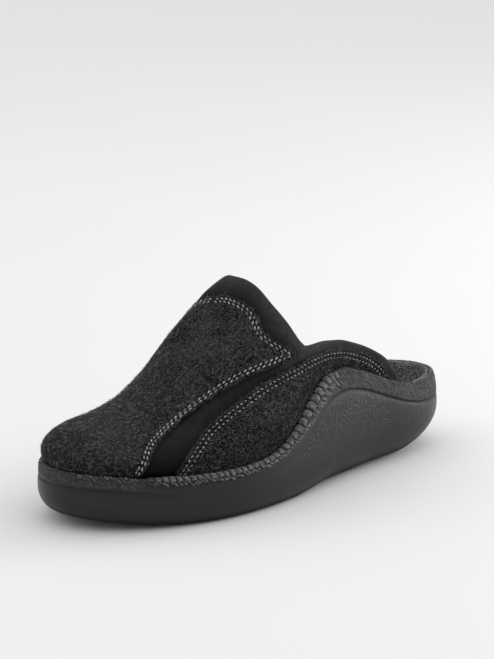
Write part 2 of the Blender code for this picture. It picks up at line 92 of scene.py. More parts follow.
# upper by x: height of its ridge, the ridge's place across, and how far its side swells out over the rim
UPPER_COLUMNS = ("x", "ridge", "offset", "swell")
UPPER = (
    (30.0, 119.0, -2.0, 0.6),
    (115.0, 123.5, -4.0, 0.8),
    (147.0, 121.5, -8.5, 1.2),
    (165.0, 105.5, -8.5, 1.6),
    (190.0, 81.5, -8.0, 2.0),
    (215.0, 60.5, -8.0, 2.2),
    (240.0, 54.0, -7.0, 2.6),
    (262.0, 54.5, -6.0, 3.0),
    (285.0, 50.0, -5.0, 3.0),
)

# lip of the rim beside the upper, swell, arch, nose and girth of the upper, and the share of the girth
# above the rim in which its normals turn level
LIP = 2.8
SWELL_RISE = 6.0
ARCH_POWER = 2.12
NOSE_START = 225.0
NOSE_POWER = 2.6
TOE_SWELL = 3.2
TOE_SWELL_RISE = 26.0
GIRTH = 120.0
LEVEL_SHARE = 0.04

# sheets: thicknesses, the seat between two pieces, and how far they go down inside the rim
FELT = 2.0
SEAT = 0.3
SHELL = 1.6
SHELL_DEPTH = FELT + SEAT
PANEL_TUCK = 8.0
SHELL_TUCK = 60.0
SKIRT_STEPS = 3

# edges on the outside of the upper, by x and girth share: 0 at the rim, 1 at the ridge
COLLAR_FRONT = ((118.9, 0.258), (128.0, 0.300), (132.5, 0.330))
COLLAR_EDGE = {
    OUTER: (
        (46.7, 0.0), (50.6, 0.045), (54.8, 0.095), (61.3, 0.150), (71.3, 0.183), (83.6, 0.200),
        (95.9, 0.209), (107.4, 0.225),
    ) + COLLAR_FRONT,
    INNER: (
        (70.5, 0.0), (73.5, 0.022), (78.0, 0.045), (83.0, 0.070), (88.5, 0.108), (94.0, 0.155),
        (100.0, 0.193), (107.4, 0.222),
    ) + COLLAR_FRONT,
}
TONGUE_EDGE = (
    (132.5, 0.330), (135.0, 0.375), (137.4, 0.436), (140.3, 0.530), (143.3, 0.640), (145.3, 0.745),
    (146.3, 0.850), (147.0, 1.0),
)
QUARTER_FRONT = (
    (231.0, 0.0), (229.6, 0.065), (227.0, 0.128), (223.6, 0.182), (219.6, 0.235), (216.1, 0.271),
    (209.6, 0.335), (205.3, 0.362), (200.5, 0.377), (195.5, 0.390), (187.5, 0.402), (176.0, 0.405),
    (164.5, 0.391), (152.8, 0.347), (141.8, 0.300), (134.0, 0.261), (126.6, 0.222),
)
QUARTER_EDGE = {
    OUTER: QUARTER_FRONT + (
        (119.4, 0.190), (110.0, 0.164), (102.4, 0.150), (93.0, 0.144), (81.0, 0.137), (73.9, 0.125),
        (67.5, 0.101), (61.6, 0.056), (57.2, 0.0),
    ),
    INNER: QUARTER_FRONT + (
        (117.4, 0.186), (108.0, 0.157), (101.0, 0.124), (95.0, 0.084), (89.5, 0.045), (86.0, 0.018),
        (83.5, 0.0),
    ),
}
VAMP_EDGE = (
    (248.8, 0.0), (247.2, 0.085), (244.2, 0.163), (242.0, 0.228), (239.0, 0.293), (234.7, 0.358),
    (228.8, 0.419), (223.1, 0.468), (217.9, 0.501), (212.3, 0.5215), (206.0, 0.527), (199.9, 0.5235),
    (192.0, 0.5165), (184.3, 0.504), (176.6, 0.4845), (168.4, 0.459), (162.4, 0.4345), (155.4, 0.399),
    (149.5, 0.3705), (141.2, 0.338),
)
THROAT_EDGE = {
    OUTER: (
        (141.2, 0.338), (144.6, 0.391), (148.1, 0.437), (151.3, 0.486), (154.3, 0.536), (156.2, 0.578),
        (156.8, 0.615), (156.2, 0.655), (155.7, 0.695), (155.9, 0.745), (156.7, 0.810), (157.5, 0.870),
        (158.5, 0.935), (160.0, 1.0),
    ),
    INNER: (
        (141.2, 0.338), (145.2, 0.391), (149.5, 0.437), (153.4, 0.486), (157.0, 0.536), (159.6, 0.585),
        (161.3, 0.650), (162.0, 0.730), (161.8, 0.810), (161.2, 0.870), (160.6, 0.935), (160.0, 1.0),
    ),
}
EDGE_SINK = 12.0
EDGE_POINTS = {"vamp": 220, "throat": 160, "quarter": 320, "collar": 200, "tongue": 160}

# columns of faces along the edges, times a fineness, and rows of faces across each region of the upper
VAMP_COLUMNS = 16
EAR_COLUMNS = 2
COLLAR_COLUMNS = 14
THROAT_COLUMNS = 9
TOE_COLUMNS = 9
TOE_SPLIT = 252.0
SHELL_FINENESS = 5
PANEL_FINENESS = 8
HAIR_FINENESS = 4
SHELL_ROWS = {"quarter": 18, "stripe": 18, "band": 26, "vamp": 26}
PANEL_ROWS = {"quarter": 44, "stripe": 2, "band": 2, "vamp": 84}
CROWDING = 0.88
TIP_GAP = 1e-4
RIDGE_GAP = 1e-6

# how finely curves and grids are worked out, and where the stations of the upper start
CURVE_STEPS = 60
OPEN_STEPS = 1600
CENTRE_POINTS = 80
WALL_POINTS = 1440
SWELL_POINTS = 40
ARCH_POINTS = 240
FIRST_STATION = 36.0
STATIONS = 360
SHARES = 121
LINE_PIECE = 1.0
NEAREST_PIECES = 3

# soft swell of the instep's inner side and of the tongue's top: amount, and where it goes from none to full
INSTEP_SWELL = 2.6
INSTEP_REAR = (147.0, 161.0)
INSTEP_FRONT = (205.0, 175.0)
INSTEP_LOW = (0.55, 0.75)
INSTEP_HIGH = (1.0, 0.82)
TONGUE_SWELL = 1.9
TONGUE_RUN = (168.0, 154.0)
TONGUE_LOW = (0.66, 0.82)
CREST_RUN = (0.86, 1.0)
CREST_SHARE = 0.5

# profile of the sole's side, groove, band and lip
SIDE_POWER = 2.3
LEAN_POWER = 1.5
TREAD_INSETS = (6.0, 2.0)
SIDE_RINGS = 17
WALL_RINGS = 9
BAND_RINGS = 9
LIP_RINGS = 8
INNER_LIP_RINGS = 6
FLOOR_LEVELS = (0.15, 0.5, 1.0)
GROOVE_HALF = 1.3
GROOVE_DEPTH = 0.6
BAND_PROUD = 0.2
LIP_PROUD = 0.1
BAND_SWELL = 0.35
SHOULDER = 1.6
CROWN = 1.25
LIP_DROP = 1.0

# groove, ring by ring: height from its middle, share of its depth, and how much further in the ring lies
GROOVE_PROFILE = (
    (-0.8, 0.12, 0.0), (-0.45, 0.55, 0.0), (-0.15, 1.0, 0.0), (0.2, 0.95, 0.0), (0.55, 0.45, 0.0),
    (0.9, 0.05, -0.12),
)

# footbed by x: step in from the inner wall, and heights of its edge and of its tread above the inner floor
FOOTBED_COLUMNS = ("x", "step", "edge", "drop")
FOOTBED = (
    (0.0, 0.0, 21.8, 6.3),
    (22.0, 0.0, 21.8, 6.3),
    (34.0, 0.6, 21.2, 6.3),
    (45.0, 4.6, 17.0, 6.3),
    (60.0, 4.6, 12.0, 6.3),
    (85.0, 4.6, 8.5, 6.3),
    (285.0, 4.6, 8.0, 6.0),
)

# how deep the moulded groove shows along the sole
GROOVE_COLUMNS = ("x", "share")
GROOVE_SHARE = (
    (0.0, 1.0), (108.0, 1.0), (122.0, 0.5), (145.0, 0.15), (222.0, 0.10), (248.0, 0.6), (285.0, 0.7),
)

# soft creases, as straight runs on the upper: start, end, half width and depth, on each side
VAMP_CREASES = {
    OUTER: (
        (222.0, 1.00, 238.0, 0.58, 7.5, 0.75),
        (192.0, 0.98, 206.0, 0.70, 6.0, 0.40),
        (170.0, 0.72, 192.0, 0.58, 5.0, 0.35),
        (256.0, 0.86, 262.0, 0.50, 5.5, 0.35),
        (206.0, 0.60, 226.0, 0.52, 5.0, 0.30),
    ),
    INNER: (
        (222.0, 1.00, 236.0, 0.60, 7.5, 0.75),
        (188.0, 0.98, 200.0, 0.66, 6.0, 0.45),
        (172.0, 0.78, 190.0, 0.60, 5.0, 0.30),
        (258.0, 0.88, 261.0, 0.55, 5.5, 0.35),
    ),
}
QUARTER_CREASES = {
    OUTER: (
        (121.0, 0.02, 127.0, 0.16, 4.0, 0.35),
        (152.0, 0.06, 160.0, 0.27, 5.0, 0.35),
        (188.0, 0.07, 193.0, 0.28, 5.5, 0.30),
        (208.0, 0.05, 205.0, 0.22, 4.5, 0.25),
    ),
    INNER: (
        (118.0, 0.03, 125.0, 0.17, 4.0, 0.35),
        (158.0, 0.06, 164.0, 0.27, 5.0, 0.35),
        (196.0, 0.07, 198.0, 0.27, 5.5, 0.30),
    ),
}
SHELL_CREASES = {
    OUTER: (
        (148.5, 0.62, 153.5, 0.66, 3.0, 0.35),
        (149.0, 0.86, 156.0, 0.83, 3.0, 0.30),
        (96.0, 0.19, 101.0, 0.17, 2.5, 0.35),
        (118.0, 0.25, 124.0, 0.23, 2.5, 0.30),
    ),
    INNER: (
        (148.5, 0.58, 153.5, 0.60, 3.0, 0.35),
        (149.0, 0.80, 156.0, 0.79, 3.0, 0.30),
        (104.0, 0.20, 109.0, 0.18, 2.5, 0.35),
    ),
}

# shape of a crease: points along it, taper towards its ends, banks beside its valley, and how far it reaches
CREASE_POINTS = 25
CREASE_TIP = 0.02
CREASE_ENDS = 0.35
CREASE_TAPER = 0.7
CREASE_BANK = 0.35
CREASE_BANK_AT = 1.5
CREASE_BANK_WIDTH = 0.6
CREASE_REACH = 2.2
CREASE_FADE = 0.3


def ease(t):
    """Smooth step from 0 to 1."""
    t = np.clip(t, 0.0, 1.0)
    return t * t * (3 - 2 * t)


def ramp(value, start, end):
    """Smooth step from 0 at start to 1 at end, whichever of the two is larger."""
    return ease((value - start) / (end - start))


def bell(gap, width):
    """Bell curve that is 1 where there is no gap."""
    return np.exp(-(gap / width) ** 2)


def drawn(rng, least, spread, shape=None):
    """Random value, or values, from least up to least and the spread."""
    return least + spread * rng.random(shape)


def strayed(rng, middle, spread):
    """Random value that strays from its middle."""
    return middle + spread * rng.standard_normal()


def unit(vectors):
    """The same directions at length 1."""
    return vectors / np.maximum(np.linalg.norm(vectors, axis=-1, keepdims=True), TINY)


def arc_length(points):
    """Distance of each point of a run from its first one, measured along it."""
    return np.concatenate([[0.0], np.cumsum(np.linalg.norm(np.diff(points, axis=0), axis=1))])


def along_run(at, arc, points):
    """Points of a run at some distances along it."""
    return np.stack([np.interp(at, arc, column) for column in points.T], 1)


def cubic(t, first, last, leave, arrive):
    """Cubic curve from first to last with its slopes at both ends."""
    start = (1 + 2 * t) * (1 - t) ** 2 * first + t * (1 - t) ** 2 * leave
    return start + t * t * (3 - 2 * t) * last + t * t * (t - 1) * arrive


def smooth_column(table, columns, name, x):
    """Value of a table column at x, on a smooth curve that does not overshoot its rows."""
    x = np.asarray(x, float)
    xs = np.array([row[0] for row in table])
    ys = np.array([row[columns.index(name)] for row in table])
    step = np.diff(xs)
    slope = np.diff(ys) / step
    tangent = np.empty_like(ys)
    tangent[0] = slope[0]
    tangent[-1] = slope[-1]
    mean = (step[1:] * slope[:-1] + step[:-1] * slope[1:]) / (step[1:] + step[:-1])
    limit = 3.0 * np.minimum(np.abs(slope[:-1]), np.abs(slope[1:]))
    mean = np.sign(mean) * np.minimum(np.abs(mean), limit)
    tangent[1:-1] = np.where(slope[:-1] * slope[1:] <= 0.0, 0.0, mean)
    k = np.clip(np.searchsorted(xs, x) - 1, 0, len(xs) - 2)
    t = np.clip((x - xs[k]) / step[k], 0.0, 1.0)
    return cubic(t, ys[k], ys[k + 1], step[k] * tangent[k], step[k] * tangent[k + 1])


def sole_column(name, x):
    """Value of the sole's table at x."""
    return smooth_column(SOLE, SOLE_COLUMNS, name, x)


def upper_column(name, x):
    """Value of the upper's table at x."""
    return smooth_column(UPPER, UPPER_COLUMNS, name, x)


def footbed_column(name, x):
    """Value of the footbed's table at x."""
    return smooth_column(FOOTBED, FOOTBED_COLUMNS, name, x)


def groove_share(x):
    """How deep the groove shows at x."""
    return smooth_column(GROOVE_SHARE, GROOVE_COLUMNS, "share", x)


def closed_curve(rows, count):
    """Evenly spaced points and outward normals on a smooth closed curve through the rows of a plan."""
    p = np.array(rows)
    n = len(p)
    t = np.sqrt(np.linalg.norm(np.roll(p, -1, 0) - p, axis=1))
    matrix = np.zeros((n, n))
    right = np.zeros((n, 2))
    for i in range(n):
        a = t[i - 1]
        b = t[i]
        matrix[i, i - 1] += b
        matrix[i, i] += 2 * (a + b)
        matrix[i, (i + 1) % n] += a
        right[i] = 3 * (b * (p[i] - p[i - 1]) / a + a * (p[(i + 1) % n] - p[i]) / b)
    tangent = np.linalg.solve(matrix, right)
    u = np.linspace(0, 1, CURVE_STEPS, endpoint=False)[:, None]
    runs = []
    for i in range(n):
        j = (i + 1) % n
        runs.append(cubic(u, p[i], p[j], t[i] * tangent[i], t[i] * tangent[j]))
    fine = np.vstack(runs + [runs[0][:1]])
    arc = arc_length(fine)
    points = along_run(np.linspace(0, arc[-1], count, endpoint=False), arc, fine)
    along = np.roll(points, -1, 0) - np.roll(points, 1, 0)
    return points, unit(np.stack([-along[:, 1], along[:, 0]], 1))


def open_curve(rows, count):
    """Evenly spaced points on a smooth open curve through rows, the second column weighed as girth."""
    scale = np.array([1.0, GIRTH])
    q = np.array(rows) * scale
    t = np.concatenate([[0.0], np.cumsum(np.sqrt(np.linalg.norm(np.diff(q, axis=0), axis=1)))])
    table = np.column_stack([t, q])
    fine_t = np.linspace(0, t[-1], OPEN_STEPS)
    fine = np.stack([smooth_column(table, ("t", "x", "girth"), name, fine_t) for name in ("x", "girth")], 1)
    arc = arc_length(fine)
    return along_run(np.linspace(0, arc[-1], count), arc, fine) / scale


def frame_shift():
    """Middle of the plan, which the shared frame has at its origin."""
    q, _ = closed_curve(PLAN, CENTRE_POINTS)
    return np.append((q.max(0) + q.min(0)) / 2, 0.0)


def wall_inset(x):
    """Distance from the plan to the inner wall of the sole rim."""
    return sole_column("lean", x) + LIP


def wall_lines():
    """Side lines of the upper where it meets the sole, by side, and its toe tip."""
    q, n = closed_curve(PLAN, WALL_POINTS)
    line = q - n * wall_inset(q[:, 0])[:, None]
    tip = int(line[:, 0].argmax())
    heel = int(line[:, 0].argmin())
    line = np.roll(line, -heel, 0)
    tip = (tip - heel) % len(line)
    inner = np.vstack([line[tip:], line[:1]])[::-1]
    return {OUTER: line[:tip + 1], INNER: inner}, line[tip]


FRAME_SHIFT = frame_shift()
WALL_LINE, TOE_TIP = wall_lines()
NOSE = TOE_TIP[0] - NOSE_START
STATION_END = NOSE_START + NOSE * np.pi / 2


def station_to_x(w):
    """Stations run evenly in x as far as the nose and then close in on the toe tip."""
    nose = NOSE_START + NOSE * np.sin(np.clip((w - NOSE_START) / NOSE, 0, np.pi / 2))
    return np.where(w < NOSE_START, w, nose)


def x_to_station(x):
    """The station at x."""
    nose = NOSE_START + NOSE * np.arcsin(np.clip((x - NOSE_START) / NOSE, 0, 1))
    return np.where(x < NOSE_START, x, nose)


def section(x, side, count):
    """Outside of the upper at x on one side: evenly spaced points from the rim to the ridge."""
    t = np.clip((x - NOSE_START) / NOSE, 0, 1)
    nose = (1 - t ** NOSE_POWER) ** (1 / NOSE_POWER)
    line = WALL_LINE[side]
    rim = float(sole_column("rim", x))
    foot = float(np.interp(x, line[:, 0], line[:, 1]))
    top = rim + (float(upper_column("ridge", x)) - rim) * nose
    crown = float(upper_column("offset", x)) * nose + TOE_TIP[1] * (1 - nose)
    swell = float(upper_column("swell", x)) * nose
    widest = rim + SWELL_RISE * nose
    a = np.linspace(0, 1, SWELL_POINTS)
    low = np.stack([foot + side * swell * np.sin(np.pi / 2 * a), rim + (widest - rim) * a], 1)
    b = np.linspace(0, np.pi / 2, ARCH_POINTS)
    reach = foot + side * swell - crown
    high = np.stack([crown + reach * np.cos(b) ** (2 / ARCH_POWER),
                     widest + (top - widest) * np.sin(b) ** (2 / ARCH_POWER)], 1)
    yz = np.vstack([low, high[1:]])
    arc = arc_length(yz) + np.arange(len(yz)) * TINY
    return np.column_stack([np.full(count, x), along_run(np.linspace(0, arc[-1], count), arc, yz)])


def grid_normals(grid):
    """Outward normals of a grid on the upper."""
    normal = unit(np.cross(np.gradient(grid, axis=1), np.gradient(grid, axis=0)))
    normal[-1] = (1.0, 0.0, 0.0)
    return normal


def surface_grid():
    """Outside of the upper as a fine grid: stations, then girth from the outer rim to the inner rim."""
    rows = []
    for x in station_to_x(np.linspace(FIRST_STATION, STATION_END, STATIONS)):
        outer = section(float(x), OUTER, SHARES)
        inner = section(float(x), INNER, SHARES)
        rows.append(np.vstack([outer, inner[::-1][1:]]))
    grid = np.array(rows)
    facing = np.maximum(grid_normals(grid)[:, :, 0], 0.0)
    rise = np.clip((grid[:, :, 2] - sole_column("rim", grid[:, :, 0])) / TOE_SWELL_RISE, 0, 1)
    grid[:, :, 0] += TOE_SWELL * facing * np.sin(np.pi * rise)
    return grid, grid_normals(grid)


GRID, GRID_NORMAL = surface_grid()


def instep_swell(x, share, side):
    """How far the instep swells out on its inner side, and the top of the tongue on its outer side."""
    crest = CREST_SHARE * ramp(share, *CREST_RUN)
    tongue = TONGUE_SWELL * ramp(x, *TONGUE_RUN)
    instep = INSTEP_SWELL * ramp(x, *INSTEP_REAR) * ramp(x, *INSTEP_FRONT)
    inner = instep * ramp(share, *INSTEP_LOW) * ramp(share, *INSTEP_HIGH) + tongue * crest
    outer = tongue * ramp(share, *TONGUE_LOW) * (1.0 - crest)
    return np.where(np.asarray(side) < 0, inner, outer)


def sample(fields, i, i_next, j, a, b):
    """Values of some grids between two rows and between column j and the next one."""
    out = []
    for field in fields:
        low = field[i, j] * (1 - a) + field[i_next, j] * a
        high = field[i, j + 1] * (1 - a) + field[i_next, j + 1] * a
        out.append(low * (1 - b) + high * b)
    return out


def on_upper(x, share, side, depth=0.0):
    """Points on the upper's outside at x and girth share (0 rim, 1 ridge), sunk by depth along the normal.

    Below the rim the share is negative and the points run straight down into the sole.
    """
    x = np.asarray(x, float)
    w = (x_to_station(x) - FIRST_STATION) / (STATION_END - FIRST_STATION) * (STATIONS - 1)
    up = np.clip(share, 0.0, 1.0)
    v = np.where(np.asarray(side) > 0, up, 2 - up) * (SHARES - 1)
    i = np.clip(w.astype(int), 0, STATIONS - 2)
    j = np.clip(v.astype(int), 0, 2 * SHARES - 3)
    point, normal = sample((GRID, GRID_NORMAL), i, i + 1, j, (w - i)[..., None], (v - j)[..., None])
    level = np.clip(1 - up / LEVEL_SHARE, 0, 1)[..., None]
    normal = unit(normal * np.array([1.0, 1.0, 0.0]) * level + normal * (1 - level))
    point = point - normal * (np.asarray(depth) - instep_swell(x, share, side))[..., None]
    point[..., 2] += np.minimum(share, 0.0) * GIRTH
    return point


def upper_normal(x, share, side):
    """Outward normals of the upper."""
    return unit(on_upper(x, share, side, -1.0) - on_upper(x, share, side))


def run_by_station(first, last, count, share):
    """Points along the rim or the ridge, evenly spaced by station."""
    w = np.linspace(float(x_to_station(first)), float(x_to_station(last)), count)
    return np.column_stack([station_to_x(w), np.full(count, share)])


def dense_ends(count):
    """Shares from 0 to 1 that crowd towards both ends."""
    t = np.linspace(0, 1, count + 1)
    return t - CROWDING * np.sin(2 * np.pi * t) / (2 * np.pi)


def edge_runs(fine, side):
    """The panel edges cut into columns, so that the pieces on both sides of an edge share its points."""
    vamp = open_curve(VAMP_EDGE, VAMP_COLUMNS * fine + 1)
    collar = open_curve(COLLAR_EDGE[side], COLLAR_COLUMNS * fine + 1)[::-1]
    throat = open_curve(THROAT_EDGE[side], THROAT_COLUMNS * fine + 1)
    tongue = open_curve(TONGUE_EDGE, THROAT_COLUMNS * fine + 1)
    quarter = open_curve(QUARTER_EDGE[side], (VAMP_COLUMNS + EAR_COLUMNS + COLLAR_COLUMNS) * fine + 1)
    ear = np.linspace(vamp[-1], collar[0], EAR_COLUMNS * fine + 1)
    return vamp, collar, throat, tongue, quarter, ear


def patch(low, high, rows):
    """Grid of x and share between two runs of columns."""
    return np.array([low + (high - low) * v for v in rows])


def skirt(run, tuck):
    """Strip that goes straight down from a run along the rim, by tuck or as far as the inner floor."""
    deepest = sole_column("rim", run[:, 0]) - sole_column("floor", run[:, 0]) - SEAT
    rows = []
    for t in np.linspace(1, 0, SKIRT_STEPS + 1):
        row = run.copy()
        row[:, 1] = -np.minimum(deepest, tuck) / GIRTH * t
        rows.append(row)
    return np.array(rows)


def upper_regions(tuck, fine, counts, side):
    """The regions of the upper on one side, by name, each a list of grids."""
    vamp, collar, throat, tongue, quarter, ear = edge_runs(fine, side)
    rows = {name: dense_ends(count) for name, count in counts.items()}
    foot = run_by_station(quarter[0, 0], quarter[-1, 0], len(quarter), 0.0)
    stripe_top = np.vstack([vamp, ear[1:], collar[1:]])
    toe = run_by_station(vamp[0, 0], TOE_TIP[0], TOE_COLUMNS * fine + 1, 0.0)
    vamp_low = np.vstack([vamp[::-1], toe[1:]])
    instep = run_by_station(throat[-1, 0], TOE_SPLIT, (VAMP_COLUMNS - THROAT_COLUMNS) * fine + 1, 1.0)
    toe_top = run_by_station(TOE_SPLIT, TOE_TIP[0], TOE_COLUMNS * fine + 1, 1.0)
    vamp_high = np.vstack([throat, instep[1:], toe_top[1:]])
    front = quarter[0] + (vamp[0] - quarter[0]) * rows["stripe"][:, None]
    rear = collar[-1] + (quarter[-1] - collar[-1]) * rows["stripe"][:, None]
    stripe = patch(quarter, stripe_top, rows["stripe"])[:, ::-1]
    return {
        "quarter": [patch(foot, quarter, rows["quarter"])[:, ::-1], skirt(foot[::-1], tuck)],
        "stripe": [stripe, skirt(front, tuck), skirt(rear, tuck)],
        "band": [patch(throat, tongue, rows["band"])],
        "vamp": [patch(vamp_low, vamp_high, rows["vamp"]), skirt(toe, tuck)],
    }


def join_regions(names, sides, tuck, fine, counts):
    """Joined regions: x, share, side and region number of each point, and the faces between the points.

    Points that meet within the rounding of their key are one point, and those on the ridge serve both sides.
    """
    index = {}
    params = []
    faces = []
    for side in sides:
        regions = upper_regions(tuck, fine, counts, side)
        for number, name in enumerate(names):
            for grid in regions[name]:
                ids = np.empty(grid.shape[0] * grid.shape[1], int)
                for k, (x, share) in enumerate(grid.reshape(-1, 2).tolist()):
                    at_tip = x > TOE_TIP[0] - TIP_GAP
                    share = min(share, 0.0) if at_tip else share
                    middle = at_tip or share > 1 - RIDGE_GAP
                    key = (round(x, 3), round(share, 5), 0 if middle else side)
                    if key not in index:
                        index[key] = len(params)
                        params.append((x, share, side, number))
                    ids[k] = index[key]
                for ring in grid_faces(ids.reshape(grid.shape[:2])):
                    ring = [v for k, v in enumerate(ring) if v != ring[k - 1]]
                    if len(ring) > 2:
                        faces.append(ring if side > 0 else ring[::-1])
    return np.array(params).T, faces


def grid_faces(ids):
    """Four-cornered faces between the points of a grid, from their numbers."""
    corners = np.stack([ids[:-1, :-1], ids[:-1, 1:], ids[1:, 1:], ids[1:, :-1]], -1)
    return corners.reshape(-1, 4).tolist()


def tube_faces(rings, count):
    """Faces between rings of so many points, one ring after the other."""
    faces = []
    for k in range(rings - 1):
        for i in range(count):
            j = (i + 1) % count
            faces.append((k * count + i, k * count + j, (k + 1) * count + j, (k + 1) * count + i))
    return faces


def repeat_faces(faces, size, copies):
    """Faces of one shape for a number of copies of it, each with so many points."""
    return [[v + k * size for v in face] for k in range(copies) for face in faces]


def sheet_points(params, outer_depth, inner_depth, faces):
    """Closed sheet between two depths: its points and faces."""
    x, share, side = params[:3]
    outer = on_upper(x, share, side, outer_depth)
    inner = on_upper(x, share, side, inner_depth)
    count = len(x)
    solid = list(faces) + [[v + count for v in face[::-1]] for face in faces]
    edges = set()
    for face in faces:
        edges.update(zip(face, face[1:] + face[:1]))
    for a, b in edges:
        if (b, a) not in edges:
            solid.append([b, a, a + count, b + count])
    return np.vstack([outer, inner]), solid


def edge_line(rows, side, count, sink_first=False, sink_last=False):
    """An edge as points in space, carried on down into the sole at the ends that reach the rim."""
    run = open_curve(rows, count)
    sink = [0.0, -EDGE_SINK / GIRTH]
    if sink_first:
        run = np.vstack([run[:1] + sink, run])
    if sink_last:
        run = np.vstack([run, run[-1:] + sink])
    return on_upper(run[:, 0], run[:, 1], side)


def line_distance(points, lines):
    """Distance of each point from the nearest of some lines."""
    starts = []
    ends = []
    for line in lines:
        for a, b in zip(line[:-1], line[1:]):
            pieces = max(1, int(np.ceil(np.linalg.norm(b - a) / LINE_PIECE)))
            run = a + (b - a) * np.linspace(0, 1, pieces + 1)[:, None]
            starts.append(run[:-1])
            ends.append(run[1:])
    starts = np.vstack(starts)
    ends = np.vstack(ends)
    tree = KDTree(len(starts))
    for k, point in enumerate((starts + ends) / 2):
        tree.insert(point, k)
    tree.balance()
    flat = points.reshape(-1, 3)
    near = np.array([[hit[1] for hit in tree.find_n(point, NEAREST_PIECES)] for point in flat])
    best = np.full(len(flat), np.inf)
    for column in near.T:
        a = starts[column]
        span = ends[column] - a
        t = np.clip(((flat - a) * span).sum(1) / np.maximum((span * span).sum(1), TINY ** 2), 0, 1)
        best = np.minimum(best, np.linalg.norm(flat - a - span * t[:, None], axis=1))
    return best.reshape(points.shape[:-1])


def crease_depth(points, side, tables):
    """How far soft creases sink the surface at some points, by the side that they are on."""
    depth = np.zeros(len(points))
    t = np.linspace(0, 1, CREASE_POINTS)
    for which, rows in tables.items():
        mine = side == which
        for x1, share1, x2, share2, width, sink in rows:
            run = on_upper(x1 + (x2 - x1) * t, share1 + (share2 - share1) * t, which)
            gap = np.linalg.norm(points[mine][:, None, :] - run[None, :, :], axis=2)
            near = gap.min(1)
            along = np.clip(t[gap.argmin(1)], CREASE_TIP, 1 - CREASE_TIP)
            taper = CREASE_ENDS + (1 - CREASE_ENDS) * np.sin(np.pi * along) ** CREASE_TAPER
            bank = CREASE_BANK * bell(near - CREASE_BANK_AT * width, CREASE_BANK_WIDTH * width)
            fade = ramp(near, CREASE_REACH * width, 0.0) ** CREASE_FADE
            depth[mine] += sink * (bell(near, width) - bank) * taper * fade
    return depth


def smooth_piece(name, points, faces, sharp):
    """Object of a mesh, smooth up to an angle in degrees, in the shared frame and riding on the body."""
    mesh = bpy.data.meshes.new(name)
    mesh.from_pydata(((points - FRAME_SHIFT) * MM).tolist(), [], [list(map(int, face)) for face in faces])
    work = bmesh.new()
    work.from_mesh(mesh)
    bmesh.ops.recalc_face_normals(work, faces=work.faces)
    for face in work.faces:
        face.smooth = True
    work.to_mesh(mesh)
    work.free()
    mesh.set_sharp_from_angle(angle=np.radians(sharp))
    if mesh.validate():
        raise RuntimeError("the mesh of " + name + " had faulty faces")
    piece = bpy.data.objects.new(name, mesh)
    bpy.context.scene.collection.objects.link(piece)
    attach(piece, BODY)
    return piece


def set_mask(piece, name, values):
    """Store one value for each point of a piece, for its material to read."""
    layer = piece.data.attributes.new(name, "FLOAT", "POINT")
    layer.data.foreach_set("value", np.asarray(values, np.float32))


# sole and rim


def side_inset(x, z):
    """Inset of the smooth sole side above its widest level."""
    widest = sole_column("widest", x)
    t = np.clip((z - widest) / (sole_column("rim", x) - widest), 0, 1)
    return sole_column("lean", x) * t ** LEAN_POWER


def sole_values(x):
    """All columns of the sole's table at x, by name."""
    return {name: sole_column(name, x) for name in SOLE_COLUMNS[1:]}


def band_pairs(value, x, steps):
    """Inset and height of the rim band, from above the groove to the shoulder of the lip."""
    low = value["groove"] + GROOVE_HALF
    shoulder = value["rim"] - SHOULDER
    pairs = []
    for t in np.linspace(0, 1, steps):
        z = low + (shoulder - low) * t
        proud = BAND_PROUD + (LIP_PROUD - BAND_PROUD) * t + BAND_SWELL * np.sin(np.pi * t)
        pairs.append((side_inset(x, z) - proud, z))
    return pairs


def lip_pairs(value, x, steps):
    """Inset and height of the outer half of the lip, from its shoulder to its crown."""
    shoulder = value["rim"] - SHOULDER
    start = side_inset(x, shoulder) - LIP_PROUD
    reach = value["lean"] + CROWN - start
    pairs = []
    for angle in np.linspace(0, np.pi / 2, steps):
        pairs.append((start + reach * (1 - np.cos(angle)), shoulder + SHOULDER * np.sin(angle)))
    return pairs


def inner_lip_pairs(value, x, angles):
    """Inset and height of the inner half of the lip, by angle from its crown."""
    crown = value["lean"] + CROWN
    reach = wall_inset(x) - SEAT - crown
    return [(crown + reach * np.sin(a), value["rim"] - LIP_DROP * (1 - np.cos(a))) for a in angles]


def sole_pairs(x):
    """Inset and height of every ring of the sole, the numbers of its first band ring and of the ring
    after its crown, and the table's values at x."""
    value = sole_values(x)
    pairs = [(value["inset"] + further, value["tread"]) for further in TREAD_INSETS]
    side_rise = value["widest"] - value["tread"]
    for angle in np.linspace(0, np.pi / 2, SIDE_RINGS):
        inset = value["inset"] * (1 - np.sin(angle) ** (2 / SIDE_POWER))
        pairs.append((inset, value["tread"] + side_rise * (1 - np.cos(angle) ** (2 / SIDE_POWER))))
    low = value["groove"] - GROOVE_HALF
    for t in np.linspace(0, 1, WALL_RINGS)[1:]:
        z = value["widest"] + (low - value["widest"]) * t
        pairs.append((side_inset(x, z), z))
    depth = GROOVE_DEPTH * groove_share(x)
    for at, share, further in GROOVE_PROFILE:
        z = value["groove"] + at
        pairs.append((side_inset(x, z) + depth * share + further, z))
    first_band = len(pairs)
    pairs += band_pairs(value, x, BAND_RINGS)
    pairs += lip_pairs(value, x, LIP_RINGS)[1:]
    last_band = len(pairs)
    pairs += inner_lip_pairs(value, x, np.linspace(0, np.pi / 2, INNER_LIP_RINGS)[1:])
    wall, top = pairs[-1]
    pairs += [(wall, top + (value["floor"] - top) * t) for t in FLOOR_LEVELS]
    return pairs, first_band, last_band, value


def ring_points(q, n, pairs):
    """Rings inside a plan, from insets and heights."""
    return [np.column_stack([q - n * inset[:, None], height]) for inset, height in pairs]


